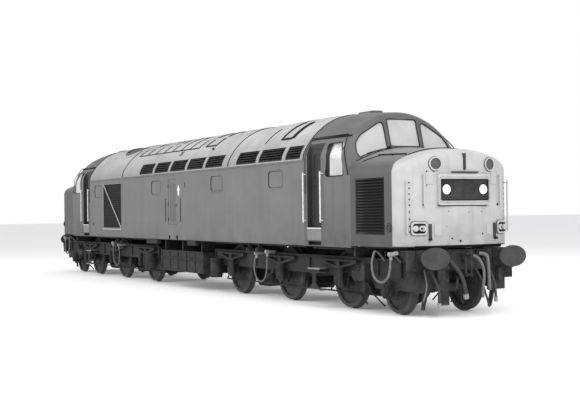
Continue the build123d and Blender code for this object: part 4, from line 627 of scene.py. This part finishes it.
def front(y, z, proud=0.0):
    """Place on the nose front and its direction out."""
    if abs(y) <= NOSE_MEET:
        angle = math.asin(y / NOSE_BOW)
        middle = Vector((NOSE_CENTRE, 0, z))
        reach = NOSE_BOW
    else:
        away = abs(y) - NOSE_ACROSS
        angle = math.copysign(math.asin(away / NOSE_CORNER), y)
        middle = Vector((NOSE_CORNER_X, math.copysign(NOSE_ACROSS, y), z))
        reach = NOSE_CORNER
    out = Vector((math.cos(angle), math.sin(angle), 0))
    return middle + out * (reach + proud), out


def screen(y, z, proud=0.0):
    """Place on the raked and bowed windscreen surface."""
    sag = SCREEN_BOW - math.sqrt(SCREEN_BOW ** 2 - y ** 2)
    return Vector((SCREEN_X - SCREEN_RAKE * (z - SCREEN_Z) - sag + proud, y, z))


def on_top(x, y, lift):
    """Place at a lift over the nose or the cab."""
    above = Vector((x, y, 5.0))
    rays = [NODES[name].ray_cast(above, Vector((0, 0, -1))) for name in ("nose_1", "cab_shell_1")]
    return Vector((x, y, max(ray[1].z for ray in rays if ray[0]) + lift))


def rounded(points, radius, steps=5):
    """Closed outline with each corner rounded."""
    made = []
    count = len(points)
    for index in range(count):
        before, here, after = (Vector(points[(index + k) % count]) for k in (-1, 0, 1))
        first = here + (before - here).normalized() * radius
        last = here + (after - here).normalized() * radius
        for step in range(steps + 1):
            t = step / steps
            made.append((1 - t) ** 2 * first + 2 * t * (1 - t) * here + t ** 2 * last)
    return made


def rectangle(low, high, radius):
    """Rounded outline of the rectangle between two corners."""
    return rounded([low, (high[0], low[1]), high, (low[0], high[1])], radius)


def levels(low, high, count=8):
    """Even steps from low to high."""
    return [low + (high - low) * k / count for k in range(count + 1)]


def pane_seals(trim):
    """Black rubber round the windscreen panes and the cab side windows."""
    for pane in (CENTRE_PANE, SIDE_PANE, tuple((-y, z) for y, z in SIDE_PANE)):
        outline = rounded([(y, rail(z)) for y, z in pane], 0.05)
        trim.tube([screen(y, z, 0.004) for y, z in outline], 0.011, 6, True)
    low = rail(2.590)
    high = rail(3.240)
    window = rounded([(7.670, low), (8.342, low), (8.342 - 0.24 * (high - low), high), (7.670, high)], 0.07)
    trim.tubes([(x, skin_y(z, -0.002), z) for x, z in window], 0.012, 6, True)
    for side in (-1, 1):
        trim.strip(*([(x, side * skin_y(z, -0.0125), z) for z in levels(low, high)] for x in (7.676, 7.815)))


def along_rows(rows, steps=6):
    """Places between the rows of a short table, at even steps."""
    made = []
    for first, last in zip(rows, rows[1:]):
        made += [Vector(first).lerp(Vector(last), step / steps) for step in range(steps)]
    return made + [Vector(rows[-1])]


# Edge behind the windscreen pillar: along, height
PILLAR_EDGE = ((8.205, 3.392), (8.300, 3.248), (8.380, 3.060), (8.420, 2.898), (8.462, 2.750), (8.500, 2.618))


def cab_lines(trim):
    """Black edge round the doorway and behind the pillar, and along the gutter."""
    trim.tubes([(6.868, skin_y(z, 0.001), z) for z in levels(2.30, 3.38, 12)], 0.012, 6)
    trim.tubes([(x, skin_y(z, 0.001), z) for x, z in along_rows(PILLAR_EDGE, 4)], 0.010, 6)
    gutter = rail(3.394)
    trim.tubes([(x, skin_y(gutter, 0.004), gutter) for x in (6.85, 8.21)], 0.012, 6)


def wipers(trim):
    """Two wipers with their arms and pivots."""
    for side in (-1, 1):
        pivot = screen(side * 0.392, rail(3.130), 0.012)
        trim.disc(pivot, (1, 0, 0.28), 0.030, 0.035, 14)
        tip = screen(side * 0.905, rail(3.010), 0.030)
        elbow = screen(side * 0.62, rail(3.085), 0.045)
        trim.tube([pivot + Vector((0.03, 0, 0)), elbow, tip], 0.008, 6)
        blade = [screen(side * y, rail(z), 0.018) for y, z in ((0.52, 3.105), (0.75, 3.045), (1.02, 2.955))]
        trim.tube(blade, 0.009, 6)


def nose_top_lines(trim):
    """Rods and the joint across the top of the nose."""
    for side in (-1, 1):
        rod = [on_top(8.914 + 0.766 * k / 8, side * (0.907 - 0.073 * k / 8), 0.022) for k in range(9)]
        trim.tube(rod, 0.013, 8)
        for x, y in ((8.914, 0.907), (9.30, 0.870), (9.68, 0.834)):
            place = on_top(x, side * y, 0.0)
            trim.tube([place - Vector((0, 0, 0.01)), place + Vector((0, 0, 0.03))], 0.018, 8)
        slope = [on_top(8.912 - 0.18 * k / 4, side * (0.915 + 0.26 * k / 4), 0.010) for k in range(5)]
        trim.tube(slope, 0.008, 6)
    trim.tube([on_top(9.742, -0.834 + 1.668 * k / 24, 0.006) for k in range(25)], 0.012, 6)
    seam = [on_top(screen(y, rail(3.0)).x + 0.075, y, 0.004) for y in levels(-1.15, 1.15, 30)]
    trim.tube(seam, 0.011, 6)


# Rivets in a column beside each tail lamp, and single ones: across, height and radius
RIVET_COLUMN = 1.075
RIVET_HEIGHTS = (1.52, 1.62, 1.75, 1.88, 2.0, 2.1, 2.2, 2.3, 2.4)
NOSE_RIVETS = (
    (-0.840, 2.003, 0.022), (0.830, 1.998, 0.022), (-0.392, 1.614, 0.010), (0.419, 1.468, 0.016),
    (-0.284, 1.394, 0.016), (-0.103, 1.345, 0.022), (-0.775, 2.60, 0.014), (-0.640, 2.60, 0.014),
    (-0.775, 2.35, 0.012), (0.09, 1.86, 0.01), (0.40, 1.87, 0.01), (-0.35, 1.88, 0.01),
)


# Lenses of a tail lamp: how far from its middle
OUTER_LENS = 0.074
INNER_LENS = 0.040


def lamp_backing(trim, place, across, out):
    """Black plate of a tail lamp and the dark line round its box."""
    up = Vector((0, 0, 1))
    plate = [place + across * u + up * v for u, v in rectangle((-0.118, -0.088), (0.118, 0.088), 0.05)]
    trim.plate([point + out * 0.020 for point in plate], [point + out * 0.031 for point in plate])
    edge = rectangle((-0.152, -0.122), (0.152, 0.122), 0.06)
    trim.tube([place + across * u + up * v + out * 0.004 for u, v in edge], 0.006, 6, True)


def nose_black(trim):
    """Dark fittings of the nose front, and a painted shadow line under the headcode frame."""
    for side in (-1, 1):
        place, out = front(side * TAIL_LAMP[0], TAIL_LAMP[1])
        across = Vector((-out.y, out.x, 0))
        lamp_backing(trim, place, across, out)
        trim.disc(place - across * side * INNER_LENS + out * 0.044, out, 0.020, 0.006, 20)
        horn, away = front(side * HORN[0], HORN[1], 0.004)
        trim.ring(horn, away, 0.128, 0.006)
        place, out = front(side * 0.735, rail(1.385))
        trim.disc(place, out, 0.024, 0.07, 12)
        outside = Vector((9.755, side * 3, rail(1.600)))
        vent, normal = NODES["nose_1"].ray_cast(outside, Vector((0, -side, 0)))[1:3]
        trim.ring(vent, normal, 0.074, 0.007, 28)
        trim.ring(vent + normal * 0.004, normal, 0.040, 0.005, 24)
    column = [(side * RIVET_COLUMN, z, 0.014) for side in (-1, 1) for z in RIVET_HEIGHTS]
    for y, z, radius in (*column, *NOSE_RIVETS):
        place, out = front(y, rail(z), -0.002)
        trim.bolt(place, out, radius)
    for wider, higher, corner, line in PANEL_LINES:
        wide = PANEL_HALF + wider
        edge = rectangle((-wide, PANEL_LOW - higher), (wide, PANEL_HIGH + higher), corner)
        trim.tube([(PANEL_FACE, y, z) for y, z in edge], line, 6, True)
    # Painted shadow: black line under the headcode frame.
    trim.tube([(10.306, -0.60, rail(1.984)), (10.306, 0.50, rail(1.984))], 0.009, 6)
    for side in (-1, 1):
        trim.ring((PANEL_FACE + 0.001, side * MARKER[0], MARKER[1]), (1, 0, 0), 0.098, 0.008)
    trim.tube([front(y, rail(1.262))[0] for y in levels(-1.0, 1.0, 20)], 0.012, 6)


def nose_lenses(trim):
    """Lenses of the tail lamps: a small outer one and a large inner one."""
    for side in (-1, 1):
        place, out = front(side * TAIL_LAMP[0], TAIL_LAMP[1])
        across = Vector((-out.y, out.x, 0)) * side
        trim.disc(place + across * OUTER_LENS + out * 0.030, out, 0.026, 0.012, 20)
        trim.disc(place - across * INNER_LENS + out * 0.030, out, 0.050, 0.016, 24)


# Blank oval plate: along, height and its half sizes
OVAL_PLATE = (0.295, rail(2.49), 0.055, 0.135)
OVAL_POINTS = 28


def side_white(trim):
    """Blank white oval plate beside the middle door, one on each side."""
    x, z, long, high = OVAL_PLATE
    for side in (-1, 1):
        trim.plate(*([(x + long * math.cos(t), side * y, z + high * math.sin(t)) for t in turns(OVAL_POINTS)]
                     for y in (HALF_WIDTH - 0.002, HALF_WIDTH + 0.004)))


def side_black(trim):
    """Small dark fittings of the engine room sides."""
    for side in (-1, 1):
        out = (0, side, 0)
        trim.box((0.690, side * 1.350 - 0.004, rail(2.557)), (0.722, side * 1.350 + 0.004, rail(2.684)))
        trim.disc((-6.499, side * 1.348, rail(1.616)), out, 0.048, 0.005, 20)
        trim.tube([(-4.78, side * 1.349, rail(1.38)), (-4.72, side * 1.356, rail(1.38))], 0.008, 6)
        for z in (1.75, 2.15, 2.62):
            trim.tube([(-0.396, side * 1.352, rail(z) + end) for end in (-0.045, 0.045)], 0.009, 8)
        trim.disc((0.125, side * 1.334, rail(2.12)), out, 0.030, 0.016, 16)


# Strap over the louvre, and the rows of bolts round it, on both sides
STRAP_START = Vector((-5.515, 0, rail(2.800)))
STRAP_END = Vector((-3.985, 0, rail(1.497)))
LOUVRE_ROWS = (rail(1.489), rail(2.805))
LOUVRE_COLUMNS = (-5.542, -3.966)
SKIRT_ROW = rail(1.30)


def strap(trim):
    """Diagonal strap across each radiator louvre."""
    run = STRAP_END - STRAP_START
    turn = Matrix.Rotation(math.atan2(-run.z, run.x), 3, "Y")
    middle = (STRAP_START + STRAP_END) / 2
    half = Vector((run.length / 2, 0.004, 0.020))
    for side in (-1, 1):
        place = middle + Vector((0, side * 1.356, 0))
        trim.box(place - half, place + half, turn)
        for point in (STRAP_START, STRAP_END):
            trim.bolt((point.x, side * 1.360, point.z), (0, side, 0), 0.016)


def side_bolts(trim):
    """Bolt heads round the louvres and along the skirt."""
    for side in (-1, 1):
        out = (0, side, 0)
        y = side * 1.349
        for z in LOUVRE_ROWS:
            trim.bolts((-5.53, y, z), (-3.98, y, z), 12, out, 0.010)
        for x in LOUVRE_COLUMNS:
            trim.bolts((x, y, rail(1.55)), (x, y, rail(2.75)), 9, out, 0.010)
        for start in (-6.6, -3.6, 0.9, 3.6):
            trim.bolts((start, y, SKIRT_ROW), (start + 2.4, y, SKIRT_ROW), 7, out, 0.008)


def roof_point(x, y, proud=0.0):
    """Place on the roof arc."""
    return (x, y, ROOF_CENTRE + math.sqrt((ROOF_RADIUS + proud) ** 2 - y ** 2))


def across_roof(x, half, proud, steps=24):
    """Places over the roof from side to side."""
    return [roof_point(x, y, proud) for y in levels(-half, half, steps)]


def over_body(x, proud):
    """Places over the whole roof and its shoulders."""
    side = [(x, skin_y(z, proud), z) for z in levels(CANTRAIL + 0.01, 3.20, 6)]
    arc = across_roof(x, 1.28, proud)
    return [(x, -y, z) for x, y, z in side] + arc + list(reversed(side))


# Sealed spans of the roof with their cross lines: start, end, spaces, half width, line
ROOF_SPANS = (
    (-3.360, 0.800, 7, 0.980, 0.014), (1.220, 1.840, 1, 0.970, 0.018), (5.400, 5.850, 1, 1.070, 0.024),
)
# Single lines over the roof: place, half width, line
ROOF_HOOPS = (
    (4.700, 1.120, 0.015), (5.930, 1.070, 0.020), (-6.118, 1.17, 0.005), (-5.768, 1.17, 0.007),
    (-3.568, 1.17, 0.005), (3.832, 1.17, 0.005), (4.382, 1.17, 0.005), (6.462, 1.17, 0.006),
)
# Joints over the roof and down its shoulders: place and line
ROOF_SEAMS = ((-3.862, 0.013), (3.238, 0.013), (-6.790, 0.012), (6.790, 0.012))


def roof_lines(trim):
    """Black lines along the edges of panels, hatches and joints."""
    for start, end, spaces, half, line in ROOF_SPANS:
        for index in range(spaces + 1):
            trim.tube(across_roof(start + (end - start) * index / spaces, half, 0.003), line, 6)
        for y in (-half, half):
            trim.tube([roof_point(start, y, 0.003), roof_point(end, y, 0.003)], line * 1.15, 6)
    for x, half, line in ROOF_HOOPS:
        trim.tube(across_roof(x, half, 0.002), line, 6)
    for x, line in ROOF_SEAMS:
        trim.tube(over_body(x, 0.002), line, 6)
    for x in (-0.120, -0.020):
        trim.tubes([roof_point(x, 1.13, 0.004), roof_point(x, 1.03, 0.004)], 0.012, 6)
    place = Vector(roof_point(1.890, 1.073))
    trim.tubes([place, place + Vector((0, 0.03, 0.03))], 0.030, 8)


def roof_bolts(trim):
    """Bolt heads on the roof beside the fan."""
    for side in (-1, 1):
        start, end = (roof_point(x, side * 0.93, -0.002) for x in (-6.05, -4.2))
        trim.bolts(start, end, 14, (0, side, 1.2), 0.014)


# Blind windows: middles along, half width and heights
BLIND_WINDOWS = (-6.025, -1.262, 2.600, 5.578)
BLIND_HALF = 0.3125
BLIND_LOW = rail(2.420)
BLIND_HIGH = rail(2.785)


def side_lines(trim):
    """Dark outlines of the blind windows and the shadow under the cantrail."""
    for x in BLIND_WINDOWS:
        outline = rectangle((x - BLIND_HALF, BLIND_LOW), (x + BLIND_HALF, BLIND_HIGH), 0.11)
        trim.tubes([(u, 1.348, v) for u, v in outline], 0.010, 6, True)
    trim.tubes([(x, HALF_WIDTH, CANTRAIL - 0.004) for x in (-6.77, 6.77)], 0.006, 6)


def cantrail_beads(trim):
    """Pale bead under the roof windows."""
    trim.tubes([(x, HALF_WIDTH, CANTRAIL + 0.018) for x in (-3.84, 6.74)], 0.011, 6)


def nose_beams(trim):
    """Frame members inside the foot of the nose, and the cross plate behind them."""
    trim.box((10.04, -0.98, 1.235), (10.10, 0.98, 1.34))
    trim.boxes((8.62, 9.99), (1.05, 1.09), (1.235, 1.34))
    trim.boxes((8.62, 9.68), (0.41, 0.49), (1.070, 1.34))
    for x in (8.90, 9.45):
        trim.box((x - 0.03, -1.06, 1.235), (x + 0.03, 1.06, 1.34))
    trim.box((8.50, -1.24, 1.075), (8.56, 1.24, 1.262))


# Cab steps: limits along, outward and at the nosing; each one's top and its nosing's heights
STEP_ALONG = (6.872, 7.338)
STEP_OUT = (1.124, 1.318)
STEP_NOSING = (1.316, 1.322)
STEPS = ((0.381, (0.362, 0.382)), (0.798, (0.779, 0.800)))


def treads(trim):
    """Worn edges of the cab steps."""
    for top, heights in STEPS:
        trim.boxes(STEP_ALONG, STEP_OUT, (top, top + 0.003))
        trim.boxes(STEP_ALONG, STEP_NOSING, heights)


# Pipes along the underframe: ends, distance out, height, radius; clips' half depth, foot and places
EDGE_PIPES = (
    ((6.95, 8.42), 1.215, 1.212, 0.022, 0.030, 1.205, (7.1, 7.7, 8.3)),
    ((2.2, 6.6), 1.190, 1.220, 0.016, 0.025, 1.212, (3.0, 4.6, 6.2)),
    ((-6.6, -2.2), 1.190, 1.220, 0.016, 0.025, 1.212, (-6.2, -4.6, -3.0)),
)
CLIP_TOP = 1.262


def under_pipes(trim):
    """Pipes and their clips along the lower edge of the underframe."""
    for ends, out, z, radius, half, foot, clips in EDGE_PIPES:
        trim.tubes([(x, out, z) for x in ends], radius, 8)
        for x in clips:
            trim.boxes((x - 0.02, x + 0.02), (out - half, out + half), (foot, CLIP_TOP))


# Bogie: axles with wheel radii, pull rod, hangers, sand pipes, frame pipe, circle of cover bolts
AXLES = ((7.658, 0.5715), (5.220, 0.5715), (2.781, 0.5715), (9.334, 0.457))
ROD_OUT = 0.862
ROD_HEIGHT = 0.335
ROD_HANGERS = (2.141, 3.421, 4.580, 5.860, 7.018, 8.298, 8.809)
SAND_PIPES = ((8.33, 8.31, 8.24), (8.70, 8.76, 8.84))
FRAME_PIPE_OUT = 1.050
FRAME_PIPE_HEIGHT = 1.040
COVER_BOLTS = 0.088


def gear_trim(trim):
    """Cover bolts, brake pull rods, sand pipes and a long pipe of a bogie."""
    for side in (-1, 1):
        out = (0, side, 0)
        for x, radius in AXLES:
            z = FLANGE + radius
            for turn in (math.pi * (k + 0.5) / 3 for k in range(6)):
                place = (x + COVER_BOLTS * math.cos(turn), side * 1.119, z + COVER_BOLTS * math.sin(turn))
                trim.bolt(place, out, 0.013)
            for dx in (-0.115, 0.115):
                for dz in (-0.10, 0.12):
                    trim.bolt((x + dx, side * 1.089, z + dz), out, 0.014)
    trim.tubes([(x, ROD_OUT, ROD_HEIGHT) for x in (2.14, 9.0)], 0.017, 8)
    for x in ROD_HANGERS:
        trim.tubes([(x, 0.772, 0.560), (x, ROD_OUT, ROD_HEIGHT)], 0.016, 6)
    for top, middle, foot in SAND_PIPES:
        trim.tubes([(top, 1.10, 0.62), (middle, 1.02, 0.40), (foot, 0.775, 0.13)], 0.015, 8)
    trim.tubes([(x, FRAME_PIPE_OUT, FRAME_PIPE_HEIGHT) for x in (1.86, 9.95)], 0.018, 8)


# Valves on the bogie sides: along, height above the floor, half thickness
VALVES = ((9.760, 1.150, 0.042), (4.469, 1.018, 0.034), (4.976, 1.070, 0.042))
# Brackets of the valves and of the front hose: along and top
BRACKETS = ((9.760, 1.172), (4.469, 1.038), (4.976, 1.092), (9.250, 1.205))


def valve_trim(trim):
    """Worn valves beside the hoses on the bogie sides."""
    for side in (-1, 1):
        for x, z, radius in VALVES:
            trim.box((x - 0.03, side * 1.14 - 0.09, z - 0.02), (x + 0.03, side * 1.14 + 0.09, z + 0.02))
            trim.tube([(x, side * 1.21, z), (x, side * 1.30, z)], radius, 14)
            trim.tube([(x, side * 1.25, z), (x, side * 1.25, z - 0.10)], 0.030, 12)
        trim.tube([(9.80, side * 1.25, 1.150), (9.93, side * 1.24, 1.175)], 0.036, 12)


def valve_brackets(trim):
    """Angle plates from the bogie frame to the valves and to the front hose."""
    for x, top in BRACKETS:
        trim.boxes((x - 0.025, x + 0.025), (1.015, 1.031), (1.00, top))
        trim.boxes((x - 0.025, x + 0.025), (1.015, 1.070), (top - 0.012, top))
    trim.boxes((9.225, 9.275), (1.03, 1.25), (1.190, 1.205))


# Headstock: its face, the buffers' distance from the middle and height, and its chain's links
HEADSTOCK_FACE = 10.199
BUFFER_OUT = 0.870
BUFFER_HEIGHT = 1.082
CHAIN_LINKS = 7


def headstock_trim(trim):
    """Bolts, plain plate, pipe stub and chain of a headstock."""
    ahead = (1, 0, 0)
    for side in (-1, 1):
        for dy in (-0.14, 0.14):
            for dz in (-0.14, 0.10):
                place = (HEADSTOCK_FACE + 0.030, side * BUFFER_OUT + dy, BUFFER_HEIGHT + dz)
                trim.bolt(place, ahead, 0.020)
        for y, z in ((1.15, 0.90), (1.15, 1.0), (1.15, 1.1), (1.15, 1.17), (0.25, 0.88), (0.45, 0.88)):
            trim.bolt((HEADSTOCK_FACE, side * y, z), ahead, 0.014)
    trim.box((10.10, -0.44, 0.21), (10.12, -0.235, 0.90))
    stub = [(10.19, -0.154, 0.74), (10.28, -0.154, 0.72), (10.30, -0.20, 0.60), (10.30, -0.243, 0.47)]
    trim.tube(stub, 0.026, 10)
    for k in range(CHAIN_LINKS):
        share = k / (CHAIN_LINKS - 1)
        place = (10.30, -0.175 + 0.106 * share, 0.617 - 0.348 * share)
        trim.ring(place, (1, 0.4, 0) if k % 2 else (0.3, 1, 0), 0.026, 0.007, 14, 1.5)


# Free hoses: radius, finish and route, with places along, across and above the rail in millimetres;
# the first three follow the part's routes
HOSES = {
    "a": (0.024, "rubber", (
        (10262, -740, 815), (10300, -700, 690), (10325, -640, 550), (10325, -605, 400), (10310, -600, 250))),
    "b": (0.038, "rubber", (
        (10262, -300, 985), (10330, -210, 850), (10360, -120, 690), (10350, -60, 530), (10320, -20, 390))),
    "c": (0.024, "rubber", (
        (10262, 470, 965), (10310, 515, 830), (10340, 590, 670), (10340, 650, 490), (10320, 672, 310))),
    "d": (0.014, "hose_grey", (
        (10200, -849, 840), (10260, -835, 640), (10270, -850, 470), (10250, -912, 285))),
    "e": (0.027, "hose_grey", (
        (10200, 136, 1109), (10330, 249, 1067), (10370, 341, 898), (10370, 376, 716), (10340, 351, 415),
        (10330, 368, 308))),
    "f": (0.032, "hose_grey", (
        (10262, 338, 1112), (10330, 460, 1100), (10350, 477, 1000), (10350, 491, 711), (10330, 524, 437))),
    "h": (0.020, "rubber", (
        (10200, 300, 850), (10330, 345, 640), (10330, 410, 420), (10320, 480, 260), (10300, 537, 130))),
    "side_front": (0.022, "hose_grey", (
        (9250, -1042, 985), (9250, -1240, 1230), (9225, -1290, 1060), (9185, -1295, 900), (9240, -1290, 690),
        (9430, -1280, 590), (9640, -1280, 640), (9745, -1265, 800), (9760, -1250, 1190), (9760, -1042, 985))),
    "side_middle": (0.016, "hose_grey", (
        (4469, -1042, 985), (4469, -1250, 1020), (4400, -1270, 830), (4380, -1275, 620), (4480, -1270, 430),
        (4720, -1250, 352), (4976, -1260, 560), (4976, -1260, 1090), (4976, -1042, 985))),
}
IN_PART = "abc"


def make_hose(name, radius, finish, points, body):
    """Smooth hose through its points."""
    data = bpy.data.curves.new(name, "CURVE")
    data.dimensions = "3D"
    data.bevel_depth = radius
    data.bevel_resolution = 4
    data.resolution_u = 12
    spline = data.splines.new("NURBS")
    spline.points.add(len(points) - 1)
    for point, place in zip(spline.points, points):
        point.co = (*place, 1)
    spline.order_u = 3
    spline.use_endpoint_u = True
    return add_piece(name, data, finish, body, "hose")


def make_hoses():
    """All the hoses at both ends; those of the part stand for its plain nodes."""
    for letter, (radius, finish, route) in HOSES.items():
        inner = letter in IN_PART
        beside = letter.startswith("side")
        for end, sign in ((1, 1), (2, -1)):
            for flip in (1, -1) if beside else (1,):
                turned = [(sign * x / 1000, sign * flip * y / 1000, rail(z / 1000)) for x, y, z in route]
                points = [Vector(place) for place in turned]
                name = f"hose_line_{letter}_{end}" + ("_left" if flip < 0 else "")
                piece = make_hose(name, radius, finish, points, f"bogie_{end}")
                if inner:
                    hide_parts(f"hose_{letter}_{end}")


# Fittings: name, slot, finish and builder; the first two tables are built at both ends
END_TRIM = (
    ("window_seals", "glass", "black", pane_seals),
    ("cab_edges", "body_side", "black", cab_lines),
    ("nose_beams", "chassis", "gear", nose_beams),
    ("wipers", "lamp_metal", "black", wipers),
    ("nose_top_rods", "lamp_metal", "black", nose_top_lines),
    ("nose_dark_fittings_and_shadow", "lamp_metal", "black", nose_black),
    ("tail_lamp_lenses", "lamp_metal", "lens", nose_lenses),
)
BOGIE_TRIM = (
    ("step_treads", "running_gear", "steel", treads),
    ("gear_trim", "running_gear", "gear", gear_trim),
    ("valves", "running_gear", "steel", valve_trim),
    ("valve_brackets", "running_gear", "gear", valve_brackets),
    ("headstock_trim", "running_gear", "headstock", headstock_trim),
)
BODY_TRIM = (
    ("side_plates", "body_side", "white", side_white),
    ("side_dark_fittings", "body_side", "black", side_black),
    ("louvre_straps", "grille", "pale", strap),
    ("side_bolts", "body_side", "side", side_bolts),
    ("roof_bolts", "roof", "black", roof_bolts),
    ("roof_lines", "roof", "black", roof_lines),
    ("side_lines", "body_side", "black", side_lines),
    ("cantrail_beads", "roof", "pale", cantrail_beads),
    ("under_pipes", "chassis", "gear", under_pipes),
)


def make_trim():
    """All the small fittings, with those of end 2 turned round."""
    for rows, body in ((END_TRIM, "body"), (BOGIE_TRIM, "bogie_{}")):
        for name, slot, finish, build in rows:
            for end in (1, 2):
                trim = Trim(f"{name}_{end}", finish, body.format(end), slot)
                build(trim)
                trim.done(end == 2)
    for name, slot, finish, build in BODY_TRIM:
        trim = Trim(name, finish, "body", slot)
        build(trim)
        trim.done()


def make_floor():
    """Pale floor that glows a little, so that it stays white."""
    bpy.ops.mesh.primitive_plane_add(size=400, location=(0, 0, -0.001))
    floor = bpy.context.object
    floor.name = "floor"
    made = Shader("floor")
    made.shader.inputs["Emission Color"].default_value = (1, 1, 1, 1)
    made.shader.inputs["Emission Strength"].default_value = FLOOR_GLOW
    floor.data.materials.append(made.done(made.mix(made.noise(0.3, 4), 0.80, 0.86), 0.9))


def make_world(scene):
    """Pale light all round, and plain white wherever the world itself is seen."""
    world = bpy.data.worlds.new("world")
    scene.world = world
    world.use_nodes = True
    tree = world.node_tree
    back = tree.nodes["Background"]
    back.inputs["Color"].default_value = (0.97, 0.98, 1.0, 1)
    back.inputs["Strength"].default_value = WORLD_LIGHT
    shown = tree.nodes.new("ShaderNodeBackground")
    shown.inputs["Color"].default_value = (1, 1, 1, 1)
    path = tree.nodes.new("ShaderNodeLightPath")
    seen = path.outputs["Is Camera Ray"]
    for kind in ("Is Glossy Ray", "Is Transmission Ray"):
        most = tree.nodes.new("ShaderNodeMath")
        most.operation = "MAXIMUM"
        tree.links.new(seen, most.inputs[0])
        tree.links.new(path.outputs[kind], most.inputs[1])
        seen = most.outputs[0]
    blend = tree.nodes.new("ShaderNodeMixShader")
    for source, target in zip((seen, back.outputs[0], shown.outputs[0]), blend.inputs):
        tree.links.new(source, target)
    tree.links.new(blend.outputs[0], tree.nodes["World Output"].inputs["Surface"])


def make_lights(scene):
    """Soft lights round the locomotive."""
    for place, aim, size, power in LIGHTS:
        data = bpy.data.lights.new("soft_light", "AREA")
        data.size = size
        data.energy = power
        lamp = bpy.data.objects.new("soft_light", data)
        lamp.location = place
        lamp.rotation_euler = (Vector(aim) - Vector(place)).to_track_quat("-Z", "Y").to_euler()
        scene.collection.objects.link(lamp)


def make_stage():
    """Plain view transform, floor, world and lights."""
    scene = bpy.context.scene
    scene.view_settings.view_transform = "Standard"
    make_floor()
    make_world(scene)
    make_lights(scene)


make_camera()
make_hoses()
paint_nodes()
make_trim()
make_stage()
